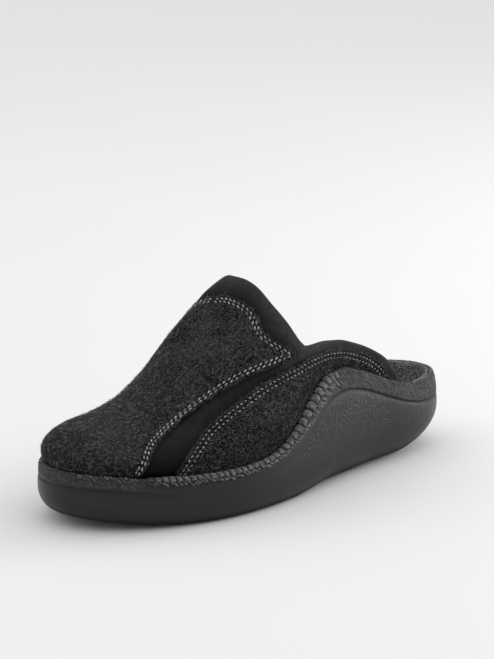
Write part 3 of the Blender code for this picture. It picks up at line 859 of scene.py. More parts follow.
def ring_faces(rings, ties):
    """Faces between rings, with caps at both ends made of strips that tie the two sides together, and the
    points with those of the caps."""
    count = len(rings[0])
    points = np.vstack(rings)
    faces = tube_faces(len(rings), count)
    extra = []
    total = len(points)
    half = count // 2
    for ring_at, flip in ((0, True), (len(rings) - 1, False)):
        base = ring_at * count
        ring = points[base:base + count]
        lines = []
        for i in range(1, half):
            a = ring[i]
            b = ring[count - i]
            line = [base + i]
            for t in range(1, ties):
                extra.append(a + (b - a) * t / ties)
                line.append(total)
                total += 1
            line.append(base + count - i)
            lines.append(line)
        cap = []
        for first, second in zip(lines[:-1], lines[1:]):
            for t in range(ties):
                cap.append((first[t], second[t], second[t + 1], first[t + 1]))
        for t in range(ties):
            cap.append((base, lines[0][t], lines[0][t + 1]))
            cap.append((base + half, lines[-1][t + 1], lines[-1][t]))
        faces.extend(face[::-1] if flip else face for face in cap)
    return np.vstack([points, np.array(extra)]), faces


# the rim as a grid: points along the plan, and steps over the lip from its inner side
RIM_POINTS = 1320
RIM_STEP = 0.25
RIM_DROP = 60
RIM_START = np.pi * 0.42
RIM_INNER_ROWS = 6
RIM_LIP_ROWS = 12
RIM_BAND_ROWS = 14


def rim_grid():
    """Lip and band as a grid: distance along the plan, then distance over the lip from its inner side."""
    q, n = closed_curve(PLAN, RIM_POINTS)
    x = q[:, 0]
    value = sole_values(x)
    pairs = inner_lip_pairs(value, x, np.linspace(RIM_START, 0, RIM_INNER_ROWS))
    pairs += lip_pairs(value, x, RIM_LIP_ROWS)[::-1][1:]
    pairs += band_pairs(value, x, RIM_BAND_ROWS)[::-1][1:]
    lines = np.array(ring_points(q, n, pairs)).swapaxes(0, 1)
    at = np.arange(RIM_DROP) * RIM_STEP
    grid = np.array([along_run(at, arc_length(line), line) for line in lines])
    around = np.roll(grid, -1, 0) - np.roll(grid, 1, 0)
    normal = unit(np.cross(around, np.gradient(grid, axis=1)))
    outward = (normal[:, :, :2] * n[:, None, :]).sum(2)
    normal = normal * np.sign(outward.mean())
    length = np.linalg.norm(np.roll(q, -1, 0) - q, axis=1).sum()
    return grid, normal, x, length


RIM, RIM_NORMAL, RIM_X, RIM_LENGTH = rim_grid()


def on_rim(s, w):
    """Points and normals on the rim at s along the plan and w over the lip from its inner side."""
    f = (s / RIM_LENGTH * RIM_POINTS) % RIM_POINTS
    i = f.astype(int) % RIM_POINTS
    g = np.clip(w / RIM_STEP, 0, RIM_DROP - 1.001)
    j = g.astype(int)
    a = (f - np.floor(f))[..., None]
    point, normal = sample((RIM, RIM_NORMAL), i, (i + 1) % RIM_POINTS, j, a, (g - j)[..., None])
    return point, unit(normal)


def rim_stretch(x_from, x_to, side):
    """Start and end, as distances along the plan, of a stretch of one side between two x positions."""
    tip = int(RIM_X.argmax())
    s = np.arange(RIM_POINTS) / RIM_POINTS * RIM_LENGTH
    if side > 0:
        return sorted(np.interp([x_from, x_to], RIM_X[:tip + 1], s[:tip + 1]))
    return sorted(np.interp([x_from, x_to], RIM_X[tip:][::-1], s[tip:][::-1]))


# masks of the sole: how strong they are, and where they go from none to full by x, height or share
BLOCKS_START = (104.0, 118.0)
TOE_BAND = 0.8
TOE_BAND_X = (244.0, 258.0)
TOE_BAND_SHARE = (0.12, 0.32)
WING_RIM = (33.0, 55.0)
WING_BASE = 0.2
WING_LEVEL = (0.25, 0.85)
WING_SLOPE = 0.7
WING_SLOPE_REAR = (100.0, 125.0)
WING_SLOPE_FRONT = (165.0, 140.0)
WING_FOOT = (7.0, 19.0)
WING_TOP = 3.0
# painted shade along the lower edge of the sole, reaching higher round the heel, and in the groove and on
# its brink
EDGE_SHADE_START = 0.8
EDGE_SHADE_FADE = 5.5
HEEL_EDGE_SHADE_FADE = 5.0
HEEL_EDGE_SHADE_X = (135.0, 95.0)
GROOVE_SHADE = 0.5
GROOVE_BRINK_SHADE = 0.2
LIP_NAP = 0.75
LIP_NAP_X = (62.0, 42.0)
LIP_NAP_FIRST = 4
LIP_NAP_RUN = 3.0


def sole_masks(x, pairs, first_band, last_band, value):
    """Masks of each ring: streaky band, grained wing, painted shade along the lower edge and in the groove,
    and napped lip.
    """
    masks = {name: np.zeros((len(pairs), len(x))) for name in ("band", "wing", "under", "block")}
    first_groove = first_band - len(GROOVE_PROFILE)
    groove = value["groove"]
    slope = WING_SLOPE * ramp(x, *WING_SLOPE_REAR) * ramp(x, *WING_SLOPE_FRONT)
    edge_shade_fade = EDGE_SHADE_FADE + HEEL_EDGE_SHADE_FADE * ramp(x, *HEEL_EDGE_SHADE_X)
    for k, (_, z) in enumerate(pairs):
        if k >= first_band:
            masks["band"][k] = 1.0 - ramp(x, *BLOCKS_START)
            if k < last_band:
                share = (z - groove) / (value["rim"] - groove)
                masks["band"][k] += TOE_BAND * ramp(x, *TOE_BAND_X) * ramp(share, *TOE_BAND_SHARE)
            continue
        high = np.maximum(ramp(z / groove, *WING_LEVEL), slope)
        wing = ramp(value["rim"], *WING_RIM) * (WING_BASE + (1 - WING_BASE) * high)
        masks["wing"][k] = wing * ramp(z, *WING_FOOT) * ease((groove - z) / WING_TOP)
        # painted shade: nearly black low on the side, and in the groove and on its brink
        under = 1 - ease((z - value["tread"] - EDGE_SHADE_START) / edge_shade_fade)
        if k == first_groove - 1:
            under = np.maximum(under, GROOVE_BRINK_SHADE * groove_share(x))
        elif k >= first_groove:
            under = np.maximum(under, GROOVE_SHADE * groove_share(x))
        masks["under"][k] = under
    for k in range(last_band - LIP_NAP_FIRST + 1, last_band + INNER_LIP_RINGS - 1):
        nap = ease((k - last_band + LIP_NAP_FIRST) / LIP_NAP_RUN)
        masks["block"][k] = LIP_NAP * ramp(x, *LIP_NAP_X) * nap
    return masks


# moulded blocks and the leaves below them: places by x, sizes as shares of the band's height
# or of the pitch; a pair is the least value and its spread, or the value and how far it strays
Block = namedtuple("Block", "at first reach half lean height taper fade")
BLOCKS_X = (110.0, 248.0)
BLOCK_FADE_REAR = (104.0, 120.0)
BLOCK_FADE_FRONT = (252.0, 236.0)
BLOCK_CLIMB_RIM = (33.0, 51.0)
BLOCK_FIRST = 0.5
BLOCK_REACH = 0.40
BLOCK_REACH_SPREAD = 0.05
BLOCK_CLIMB = 0.05
BLOCK_HALF = (0.94, 0.1)
BLOCK_LEAN = (0.43, 0.06)
BLOCK_HEIGHT = (0.9, 0.25)
BLOCK_TAPER = 0.1
LEAF_SHIFTS = (0.02, 0.5)
LEAF_SHIFT_STRAY = 0.09
LEAF_FIRST = 0.3
LEAF_FIRST_STRAY = 0.05
LEAF_REACH = 0.20
LEAF_REACH_SPREAD = 0.08
LEAF_CLIMB = 0.15
LEAF_HALF = 0.24
LEAF_LEAN = 2.0
LEAF_HEIGHT = 0.9
LEAF_TAPER = 0.7
LEAF_FADE = (0.75, 0.25)

# small leaves round the toe, in two irregular rows
TOE_LEAVES_X = (254.0, 281.0)
TOE_LEAF_ROWS = (1.5, 3.1)
TOE_LEAF_ROW_STRAY = 0.35
TOE_LEAF_STAGGER = 0.9
TOE_LEAF_PITCH = 0.68
TOE_LEAF_STRAY = 0.5
TOE_LEAF_MISSING = 0.18
TOE_LEAF_REACH = (1.7, 0.9)
TOE_LEAF_HALF = (0.19, 0.1)
TOE_LEAF_LEAN = (1.0, 0.3)
TOE_LEAF_HEIGHT = 0.6
TOE_LEAF_TAPER = 0.6
TOE_LEAF_FADE = (0.15, 0.8)

# shape of one block: its grid, ragged sides, uneven top, height at its upper end, and how far it goes in
BLOCK_COLUMNS = 9
BLOCK_ROWS = 11
RAGGED = 0.10
RAGGED_WAVE = 7.0
WOBBLE = 0.16
WOBBLE_WAVES = (2.6, 4.0)
PHASES = 6.0
BLOCK_START = 0.45
BLOCK_START_RUN = 0.7
BLOCK_FADED = 0.35
PILLOW_POWERS = (12, 14)
BLOCK_LIFT = 0.1
BLOCK_SINK = 0.12
BLOCK_ROOT = 0.5


def rim_blocks(pitch, gap, proud, rng):
    """List of the blocks, each with two leaves below it, and of the small leaves round the toe."""
    blocks = []
    for side in SIDES:
        start, end = rim_stretch(*BLOCKS_X, side)
        for s in np.arange(start, end, pitch):
            x = float(np.interp(s / RIM_LENGTH * RIM_POINTS, np.arange(RIM_POINTS), RIM_X))
            fade = float(ramp(x, *BLOCK_FADE_REAR) * ramp(x, *BLOCK_FADE_FRONT))
            tall = float(sole_column("rim", x) - sole_column("groove", x))
            climb = float(ramp(sole_column("rim", x), *BLOCK_CLIMB_RIM))
            reach = drawn(rng, BLOCK_REACH + BLOCK_CLIMB * climb, BLOCK_REACH_SPREAD) * tall
            lean = -side * strayed(rng, *BLOCK_LEAN)
            half = (pitch - gap) / 2 * drawn(rng, *BLOCK_HALF)
            height = proud * drawn(rng, *BLOCK_HEIGHT)
            blocks.append(Block(s, BLOCK_FIRST, reach, half, lean, height, BLOCK_TAPER, fade))
            for shift in LEAF_SHIFTS:
                tip = drawn(rng, LEAF_REACH + LEAF_CLIMB * climb, LEAF_REACH_SPREAD) * tall
                blocks.append(Block(
                    at=s + lean * (reach + tip) / 2 + strayed(rng, shift, LEAF_SHIFT_STRAY) * pitch,
                    first=strayed(rng, LEAF_FIRST + reach, LEAF_FIRST_STRAY * tall),
                    reach=tip,
                    half=LEAF_HALF * pitch,
                    lean=LEAF_LEAN * lean,
                    height=LEAF_HEIGHT * proud,
                    taper=LEAF_TAPER,
                    fade=fade * drawn(rng, *LEAF_FADE)))
        start, end = rim_stretch(*TOE_LEAVES_X, side)
        for row, first in enumerate(TOE_LEAF_ROWS):
            for s in np.arange(start + TOE_LEAF_STAGGER * row, end, TOE_LEAF_PITCH * pitch):
                if rng.random() < TOE_LEAF_MISSING:
                    continue
                blocks.append(Block(
                    at=strayed(rng, s, TOE_LEAF_STRAY),
                    first=strayed(rng, first, TOE_LEAF_ROW_STRAY),
                    reach=drawn(rng, *TOE_LEAF_REACH),
                    half=drawn(rng, *TOE_LEAF_HALF) * pitch,
                    lean=-side * strayed(rng, *TOE_LEAF_LEAN),
                    height=TOE_LEAF_HEIGHT * proud,
                    taper=TOE_LEAF_TAPER,
                    fade=drawn(rng, *TOE_LEAF_FADE)))
    return blocks


def block_points(block, u, v, rng):
    """Points of one block, outside and then inside, for places u across it and v down it."""
    from_middle = np.abs(2 * v - 1)
    width = block.half * (1 - block.taper * from_middle ** 2)
    ragged = RAGGED * block.half * np.sin(RAGGED_WAVE * v + PHASES * rng.random())
    slant = block.lean * block.reach * (v - 0.5)
    place, normal = on_rim(block.at + u * width + ragged + slant, block.first + v * block.reach)
    wobble = WOBBLE * np.sin(WOBBLE_WAVES[0] * u + PHASES * rng.random())
    wobble = wobble * np.cos(WOBBLE_WAVES[1] * v + PHASES * rng.random())
    swell = block.height * (BLOCK_START + (1 - BLOCK_START) * ease(v / BLOCK_START_RUN)) + wobble
    swell = swell * (BLOCK_FADED + (1 - BLOCK_FADED) * block.fade)
    pillow = np.sqrt((1 - np.abs(u) ** PILLOW_POWERS[0]) * (1 - from_middle ** PILLOW_POWERS[1]))
    outside = place + normal * ((swell + BLOCK_LIFT) * pillow - BLOCK_SINK)[..., None]
    inside = place - normal * BLOCK_ROOT
    return np.vstack([outside.reshape(-1, 3), inside.reshape(-1, 3)])


def block_faces(ids):
    """Faces of one block whose outside points have the numbers in a grid."""
    size = ids.size
    top = grid_faces(ids.T)
    rim = list(ids[:, 0]) + list(ids[-1, 1:]) + list(ids[::-1, -1][1:]) + list(ids[0, ::-1][1:-1])
    bottom = [[v + size for v in face[::-1]] for face in top]
    return top + bottom + [[a, b, b + size, a + size] for a, b in zip(rim[1:] + rim[:1], rim)]


# sewing
THREAD_ROUND = 3.2
THREAD_TIP = 0.02
THREAD_TWIST = 0.13
STITCH_JITTER = 0.06
STITCH_MARGIN = 0.2
STITCH_LOOK = 0.4
STITCH_SINK = 0.22
STITCH_DIP = 0.9
ROW_SMOOTHING = 3


def thread_shape(turns, plies, rings, sides):
    """One stitch as a plump twisted strand from -1 to 1: points and faces."""
    u = np.linspace(-1, 1, rings)
    angle = np.linspace(0, 2 * np.pi, sides, endpoint=False)
    uu, aa = np.meshgrid(u, angle, indexing="ij")
    round_off = np.sqrt(np.clip(1 - np.abs(uu) ** THREAD_ROUND, THREAD_TIP, 1))
    radius = round_off * (1 + THREAD_TWIST * np.cos(plies * aa - turns * np.pi * uu))
    points = np.stack([uu, radius * np.cos(aa), radius * np.sin(aa)], -1).reshape(-1, 3)
    faces = tube_faces(rings, sides)
    faces.append(tuple(range(sides))[::-1])
    faces.append(tuple((rings - 1) * sides + i for i in range(sides)))
    return points, faces


def strew(shape, centre, along, up, half, radius):
    """Copies of one stitch shape, each along its own direction on the surface, with its ends dipping."""
    points, faces = shape
    across = unit(np.cross(up, along))
    along = np.cross(across, up)
    lift = radius * (points[:, 2] - STITCH_DIP * points[:, 0] ** 2)
    copies = centre[:, None] + along[:, None] * (points[:, 0] * half[:, None])[..., None]
    copies = copies + across[:, None] * (points[:, 1] * radius)[None, :, None]
    copies = copies + up[:, None] * lift[None, :, None]
    return copies.reshape(-1, 3), repeat_faces(faces, len(points), len(centre))


def turned(along, up, angle):
    """Directions turned about the normals."""
    return along * np.cos(angle)[:, None] + np.cross(up, along) * np.sin(angle)[:, None]


def row_at(grid, side, lines, distance, from_top):
    """Run of x and share that keeps one distance from the edges of a panel."""
    if from_top:
        grid = grid[::-1]
    gap = line_distance(on_upper(grid[:, :, 0], grid[:, :, 1], side), lines)
    run = np.full((gap.shape[1], 2), np.nan)
    for c, column in enumerate(gap.T):
        if column[0] < distance <= column.max():
            k = int(np.argmax(column >= distance))
            t = (distance - column[k - 1]) / max(column[k] - column[k - 1], TINY)
            run[c] = grid[k - 1, c] + (grid[k, c] - grid[k - 1, c]) * t
    good = np.where(~np.isnan(run[:, 0]))[0]
    pieces = np.split(good, np.where(np.diff(good) > 1)[0] + 1)
    return run[max(pieces, key=len)]


def sew(run, side, pitch, seed):
    """Stitches along a run: their middles, directions and normals."""
    points = on_upper(run[:, 0], run[:, 1], side)
    for _ in range(ROW_SMOOTHING):
        points[1:-1] = (points[:-2] + 2 * points[1:-1] + points[2:]) / 4
    arc = arc_length(points)
    count = max(int((arc[-1] - pitch) / pitch), 1)
    rng = np.random.default_rng(seed)
    at = pitch / 2 + np.arange(count + 1) * (arc[-1] - pitch) / count
    at = np.clip(at + rng.normal(0, STITCH_JITTER, len(at)), STITCH_MARGIN, arc[-1] - STITCH_MARGIN)
    along = unit(along_run(at + STITCH_LOOK, arc, points) - along_run(at - STITCH_LOOK, arc, points))
    x, share = along_run(at, arc, run).T
    return along_run(at, arc, points), along, upper_normal(x, share, side)


def vamp_lines(side):
    """Cut edges of the vamp panel."""
    return [edge_line(VAMP_EDGE, side, EDGE_POINTS["vamp"], sink_first=True),
            edge_line(THROAT_EDGE[side], side, EDGE_POINTS["throat"])]


def quarter_lines(side):
    """Cut edge of a quarter panel."""
    return [edge_line(QUARTER_EDGE[side], side, EDGE_POINTS["quarter"], sink_first=True, sink_last=True)]


def topline(side):
    """Upper edge of the shell, round the collar and the tongue."""
    return [edge_line(COLLAR_EDGE[side], side, EDGE_POINTS["collar"], sink_first=True),
            edge_line(TONGUE_EDGE, side, EDGE_POINTS["tongue"])]


def lines_gap(points, side, lines):
    """Distance of each point from the nearest line of its own side."""
    gap = np.zeros(len(points))
    for which in SIDES:
        mine = side == which
        if mine.any():
            gap[mine] = line_distance(points[mine], lines(which))
    return gap


# felt panel by distance from its cut edge: round edge, lip, sewn rows, ridge between them and pillow
CUT_ROUND = 1.2
CUT_LIP = 0.22
CUT_LIP_WIDTH = 0.7
ROW_SINK = 0.45
ROW_WIDTH = 0.62
ROW_RIDGE = 0.16
ROW_RIDGE_WIDTH = 0.7
PILLOW_RUN = 9.0
RIM_FLAT = 7.0


def felt_depth(gap, rows, rim_gap, lift):
    """Depth of a felt panel's outside by distances from its cut edge and from the rim."""
    t = np.clip(1 - gap / CUT_ROUND, 0, 1)
    depth = CUT_ROUND * (1 - np.sqrt(1 - t * t))
    for at in rows:
        depth += ROW_SINK * bell(gap - at, ROW_WIDTH)
    rise = CUT_LIP * bell(gap - CUT_ROUND, CUT_LIP_WIDTH)
    rise += ROW_RIDGE * bell(gap - (rows[0] + rows[-1]) / 2, ROW_RIDGE_WIDTH)
    rise += lift * ease((gap - rows[-1]) / PILLOW_RUN)
    return depth - rise * ease(rim_gap / RIM_FLAT)


# materials


def feed(tree, node, **values):
    """Set or link inputs of a node, with the spaces in their names written as underscores."""
    for name, value in values.items():
        socket = node.inputs[name.replace("_", " ")]
        if isinstance(value, bpy.types.NodeSocket):
            tree.links.new(value, socket)
        elif socket.type == "RGBA":
            socket.default_value = tuple(value)[:3] + (1.0,)
        else:
            socket.default_value = value


def add_node(tree, kind, **properties):
    """New node with some of its properties set."""
    node = tree.nodes.new(kind)
    for name, value in properties.items():
        setattr(node, name, value)
    return node


def object_place(tree):
    """Coordinates of the object, in metres."""
    return tree.nodes.new("ShaderNodeTexCoord").outputs["Object"]


def attribute(tree, name):
    """Mask that a piece keeps for each of its points."""
    return add_node(tree, "ShaderNodeAttribute", attribute_name=name).outputs["Fac"]


def noise(tree, vector, scale, detail=3.0, roughness=0.6, distortion=0.0, output="Fac"):
    """Cloudy noise with so many repeats to the metre."""
    node = tree.nodes.new("ShaderNodeTexNoise")
    feed(tree, node, Vector=vector, Scale=scale, Detail=detail, Roughness=roughness, Distortion=distortion)
    return node.outputs[output]


def stretch(tree, vector, scale, turn):
    """Coordinates along turned axes, each with its own number of repeats to the metre."""
    node = add_node(tree, "ShaderNodeMapping", vector_type="TEXTURE")
    feed(tree, node, Vector=vector, Rotation=turn, Scale=tuple(1 / s for s in scale))
    return node.outputs["Vector"]


def calculate(tree, operation, first, second, clamp=False):
    """Math node on sockets or numbers."""
    node = add_node(tree, "ShaderNodeMath", operation=operation, use_clamp=clamp)
    for socket, value in zip(node.inputs, (first, second)):
        if isinstance(value, bpy.types.NodeSocket):
            tree.links.new(value, socket)
        else:
            socket.default_value = value
    return node.outputs[0]


def weigh(tree, *terms):
    """Sum of sockets, each times its weight."""
    parts = [calculate(tree, "MULTIPLY", socket, weight) for socket, weight in terms]
    total = parts[0]
    for part in parts[1:]:
        total = calculate(tree, "ADD", total, part)
    return total


def remap(tree, value, low, high, to_low=0.0, to_high=1.0):
    """Value taken from one range to another on a smooth step."""
    node = add_node(tree, "ShaderNodeMapRange", interpolation_type="SMOOTHSTEP")
    feed(tree, node, Value=value, From_Min=low, From_Max=high, To_Min=to_low, To_Max=to_high)
    return node.outputs["Result"]


def blend_colours(tree, share, first, second):
    """Mix of two colours, each a socket or a colour."""
    node = add_node(tree, "ShaderNodeMix", data_type="RGBA")
    tree.links.new(share, node.inputs["Factor"])
    sockets = [s for s in node.inputs if s.type == "RGBA"]
    for socket, value in zip(sockets, (first, second)):
        if isinstance(value, bpy.types.NodeSocket):
            tree.links.new(value, socket)
        else:
            socket.default_value = tuple(value)[:3] + (1.0,)
    return [s for s in node.outputs if s.type == "RGBA"][0]


def vary(tree, value, span, colour, darkest, lightest):
    """A colour from darkest to lightest, as factors, while a value runs over its span."""
    return blend_colours(tree, remap(tree, value, *span), times(colour, darkest), times(colour, lightest))


def times(colour, factor):
    """A colour made lighter or darker."""
    return tuple(min(1.0, c * factor) for c in tuple(colour)[:3])


def add_bump(tree, shader, height, strength, distance):
    """Relief of a finish."""
    bump = tree.nodes.new("ShaderNodeBump")
    feed(tree, bump, Height=height, Strength=strength, Distance=distance)
    feed(tree, shader, Normal=bump.outputs["Normal"])


def start_group(name, inputs, outputs):
    """Empty node group with named inputs at their first values and named outputs of their kinds."""
    tree = bpy.data.node_groups.new(name, "ShaderNodeTree")
    for label, value in inputs.items():
        kind = "NodeSocketFloat" if isinstance(value, float) else "NodeSocketColor"
        tree.interface.new_socket(label, in_out="INPUT", socket_type=kind).default_value = value
    for label, kind in outputs.items():
        tree.interface.new_socket(label, in_out="OUTPUT", socket_type=kind)
    return tree, tree.nodes.new("NodeGroupInput").outputs, tree.nodes.new("NodeGroupOutput")


def place_group(tree, group, **values):
    """Outputs of a group that is placed in a material with its own values."""
    node = tree.nodes.new("ShaderNodeGroup")
    node.node_tree = group
    feed(tree, node, **values)
    return node.outputs


def start_material(name):
    """Material with its tree and shader."""
    material = bpy.data.materials.new(name)
    material.use_nodes = True
    return material, material.node_tree, material.node_tree.nodes["Principled BSDF"]


# three layers of felt fibres: turn, and repeats to the metre along each axis
FIBRES = (
    ((0.4, 0.7, 0.3), (260.0, 2300.0, 1900.0)),
    ((-0.6, 0.2, 1.9), (240.0, 2100.0, 2200.0)),
    ((1.1, -0.5, 2.8), (300.0, 2400.0, 2000.0)),
)

# first values of the groups' colours, and the colour of lint
DARK = (0.01, 0.01, 0.01, 1.0)
LIGHT = (0.08, 0.08, 0.08, 1.0)
PALE = (0.2, 0.2, 0.2, 1.0)
LINT = (0.16, 0.16, 0.165)


def felt_nap_group():
    """Felt: matted fibres in two tones with lighter hairs, as a colour and a height."""
    name = "Felt Nap"
    if name in bpy.data.node_groups:
        return bpy.data.node_groups[name]
    tree, given, leave = start_group(
        name, {"Dark": DARK, "Light": LIGHT, "Hair": PALE, "Hair Share": 0.5},
        {"Color": "NodeSocketColor", "Height": "NodeSocketFloat"})
    where = object_place(tree)
    mottle = noise(tree, where, 430.0, detail=2.0, distortion=0.3)
    patches = noise(tree, where, 70.0, detail=2.0, roughness=0.5, distortion=0.3)
    tufts = noise(tree, where, 980.0, detail=1.0, roughness=0.5)
    tone = weigh(tree, (mottle, 0.32), (tufts, 0.68), (calculate(tree, "SUBTRACT", patches, 0.5), 0.12))
    colour = blend_colours(tree, remap(tree, tone, 0.41, 0.66), given["Dark"], given["Light"])
    layers = []
    for turn, scale in FIBRES:
        flow = stretch(tree, where, scale, turn)
        strand = noise(tree, flow, 1.0, detail=2.0, roughness=0.5, distortion=0.8)
        layers.append(remap(tree, strand, 0.66, 0.74))
    hairs = calculate(tree, "MAXIMUM", calculate(tree, "MAXIMUM", layers[0], layers[1]), layers[2])
    hairs = calculate(tree, "MULTIPLY", hairs, given["Hair Share"])
    height = calculate(tree, "ADD", tone, calculate(tree, "MULTIPLY", hairs, 0.25))
    feed(tree, leave, Color=blend_colours(tree, hairs, colour, given["Hair"]), Height=height)
    return tree


def fine_grain_group():
    """Moulded or brushed grain: pebbles and fine tooth as a height, and slow unevenness as a cloud."""
    name = "Fine Grain"
    if name in bpy.data.node_groups:
        return bpy.data.node_groups[name]
    tree, given, leave = start_group(
        name, {"Pebble": 900.0, "Tooth": 2600.0}, {"Height": "NodeSocketFloat", "Cloud": "NodeSocketFloat"})
    where = object_place(tree)
    pebble = add_node(tree, "ShaderNodeTexVoronoi", feature="SMOOTH_F1")
    feed(tree, pebble, Vector=where, Scale=given["Pebble"])
    tooth = noise(tree, where, given["Tooth"])
    cloud = noise(tree, where, 42.0, detail=4.0, distortion=0.4)
    feed(tree, leave, Height=weigh(tree, (pebble.outputs["Distance"], -0.7), (tooth, 0.6)), Cloud=cloud)
    return tree


def lint_group():
    """Lint and dust: pale specks on faces that look up, mixed over a colour."""
    name = "Lint"
    if name in bpy.data.node_groups:
        return bpy.data.node_groups[name]
    tree, given, leave = start_group(name, {"Color": DARK, "Amount": 0.3}, {"Color": "NodeSocketColor"})
    where = object_place(tree)
    facing = tree.nodes.new("ShaderNodeSeparateXYZ")
    feed(tree, facing, Vector=tree.nodes.new("ShaderNodeNewGeometry").outputs["Normal"])
    up = remap(tree, facing.outputs["Z"], -0.3, 0.9)
    speck = remap(tree, noise(tree, where, 900.0, detail=4.0, roughness=0.7, distortion=1.0), 0.60, 0.74)
    film = remap(tree, noise(tree, where, 30.0), 0.35, 0.75, to_high=0.35)
    share = calculate(tree, "MULTIPLY", calculate(tree, "ADD", speck, film), up)
    share = calculate(tree, "MULTIPLY", share, given["Amount"], clamp=True)
    feed(tree, leave, Color=blend_colours(tree, share, given["Color"], LINT))
    return tree


def dusty_and_shaded(tree, base, amount, mask, colour):
    """A colour with lint on it, and nearly black painted shade where a mask says so."""
    lint = place_group(tree, lint_group(), Color=base, Amount=amount)
    return blend_colours(tree, attribute(tree, mask), lint["Color"], times(colour, 0.1))


def felt_material(name, colour, contrast):
    """Charcoal or grey felt around one colour."""
    if name in bpy.data.materials:
        return bpy.data.materials[name]
    material, tree, shader = start_material(name)
    nap = place_group(tree, felt_nap_group(), Dark=times(colour, 1 - contrast),
                      Light=times(colour, 1 + 2 * contrast), Hair=times(colour, 3.6), Hair_Share=0.45)
    # painted shade, nearly black, where the piece's mask says so
    feed(tree, shader, Base_Color=dusty_and_shaded(tree, nap["Color"], 0.25, "painted_shade", colour), Roughness=0.95,
         Specular_IOR_Level=0.05, Sheen_Weight=0.04, Sheen_Roughness=0.55, Sheen_Tint=(0.75, 0.75, 0.78))
    add_bump(tree, shader, nap["Height"], strength=0.75, distance=0.0011)
    return material


def shell_material(colour):
    """Black brushed microfibre of the stripe, collar and lining."""
    name = "Brushed Microfibre"
    if name in bpy.data.materials:
        return bpy.data.materials[name]
    material, tree, shader = start_material(name)
    grain = place_group(tree, fine_grain_group(), Pebble=1500.0, Tooth=3600.0)
    flow = stretch(tree, object_place(tree), (110.0, 420.0, 420.0), (0.3, 0.2, 0.6))
    brushed = noise(tree, flow, 1.0, detail=4.0, distortion=1.0)
    tone = weigh(tree, (brushed, 0.5), (grain["Cloud"], 0.5))
    base = vary(tree, tone, (0.35, 0.68), colour, 0.75, 1.45)
    # painted shade, nearly black, where the piece's mask says so
    feed(tree, shader, Base_Color=dusty_and_shaded(tree, base, 0.10, "painted_shade", colour),
         Roughness=remap(tree, grain["Cloud"], 0.3, 0.7, 0.72, 0.86), Specular_IOR_Level=0.05,
         Sheen_Weight=0.07, Sheen_Roughness=0.45, Sheen_Tint=(0.86, 0.80, 0.77))
    height = calculate(tree, "ADD", grain["Height"], calculate(tree, "MULTIPLY", brushed, 0.8))
    add_bump(tree, shader, height, strength=0.35, distance=0.0004)
    return material


def wing_wrinkles(tree, where):
    """Net of fine wrinkles that flows in whorls: 0 in a wrinkle, 1 between them."""
    swirl = add_node(tree, "ShaderNodeVectorMath", operation="MULTIPLY_ADD")
    tree.links.new(noise(tree, where, 34.0, detail=2.0, roughness=0.5, output="Color"), swirl.inputs[0])
    swirl.inputs[1].default_value = (0.013, 0.013, 0.013)
    tree.links.new(where, swirl.inputs[2])
    flow = stretch(tree, swirl.outputs["Vector"], (170.0, 640.0, 640.0), (0.0, -2.0, 0.0))
    shifted = add_node(tree, "ShaderNodeVectorMath", operation="ADD")
    tree.links.new(flow, shifted.inputs[0])
    tree.links.new(noise(tree, flow, 0.9, distortion=0.5, output="Color"), shifted.inputs[1])
    net = add_node(tree, "ShaderNodeTexVoronoi", feature="DISTANCE_TO_EDGE")
    feed(tree, net, Vector=shifted.outputs["Vector"], Scale=1.0)
    return remap(tree, net.outputs["Distance"], 0.0, 0.30)


def sole_material(colour, band_colour, highlight_and_nap_colour):
    """Moulded foam rubber: smooth sides, a grained wing and a streaky felt-like rim band."""
    name = "Moulded Foam Rubber"
    if name in bpy.data.materials:
        return bpy.data.materials[name]
    material, tree, shader = start_material(name)
    where = object_place(tree)
    band = attribute(tree, "band")
    wing = attribute(tree, "wing")
    block = attribute(tree, "block")
    grain = place_group(tree, fine_grain_group(), Pebble=1100.0, Tooth=3000.0)
    wrinkles = wing_wrinkles(tree, where)
    flow = stretch(tree, where, (260.0, 800.0, 800.0), (0.0, -0.78, 0.0))
    streak = noise(tree, flow, 1.0, detail=2.0, roughness=0.55, distortion=0.8)
    tuft = noise(tree, where, 820.0, detail=2.0, distortion=0.5)
    side = vary(tree, grain["Cloud"], (0.3, 0.7), colour, 0.88, 1.15)
    # painted shade in the wrinkle lines of the wing
    lines = calculate(tree, "MULTIPLY", calculate(tree, "SUBTRACT", 1.0, wrinkles), wing)
    side = blend_colours(tree, lines, side, times(colour, 0.3))
    fuzzy = vary(tree, weigh(tree, (streak, 0.6), (tuft, 0.4)), (0.42, 0.60), band_colour, 0.2, 2.3)
    # lighter grey of the blocks, leaves and rear lip: a painted highlight on the blocks and leaves, and the
    # lip's lighter nap
    highlight_and_nap = vary(tree, tuft, (0.36, 0.64), highlight_and_nap_colour, 0.35, 1.5)
    base = blend_colours(tree, block, blend_colours(tree, band, side, fuzzy), highlight_and_nap)
    napped = calculate(tree, "MAXIMUM", band, block)
    rough = remap(tree, grain["Cloud"], 0.3, 0.7, 0.37, 0.46)
    for mask, more in ((napped, 0.3), (attribute(tree, "under"), 0.5)):
        rough = calculate(tree, "ADD", rough, calculate(tree, "MULTIPLY", mask, more), clamp=True)
    # nearly black painted shade along the lower edge and in the groove, from its mask
    feed(tree, shader, Base_Color=dusty_and_shaded(tree, base, 0.12, "under", colour), Roughness=rough,
         Specular_IOR_Level=0.40)
    fuzz = calculate(tree, "ADD", streak, calculate(tree, "MULTIPLY", tuft, 0.6))
    height = weigh(tree, (grain["Height"], 0.10), (calculate(tree, "MULTIPLY", wrinkles, wing), 0.42),
                   (calculate(tree, "MULTIPLY", fuzz, napped), 2.2))
    add_bump(tree, shader, height, strength=0.55, distance=0.0006)
    return material


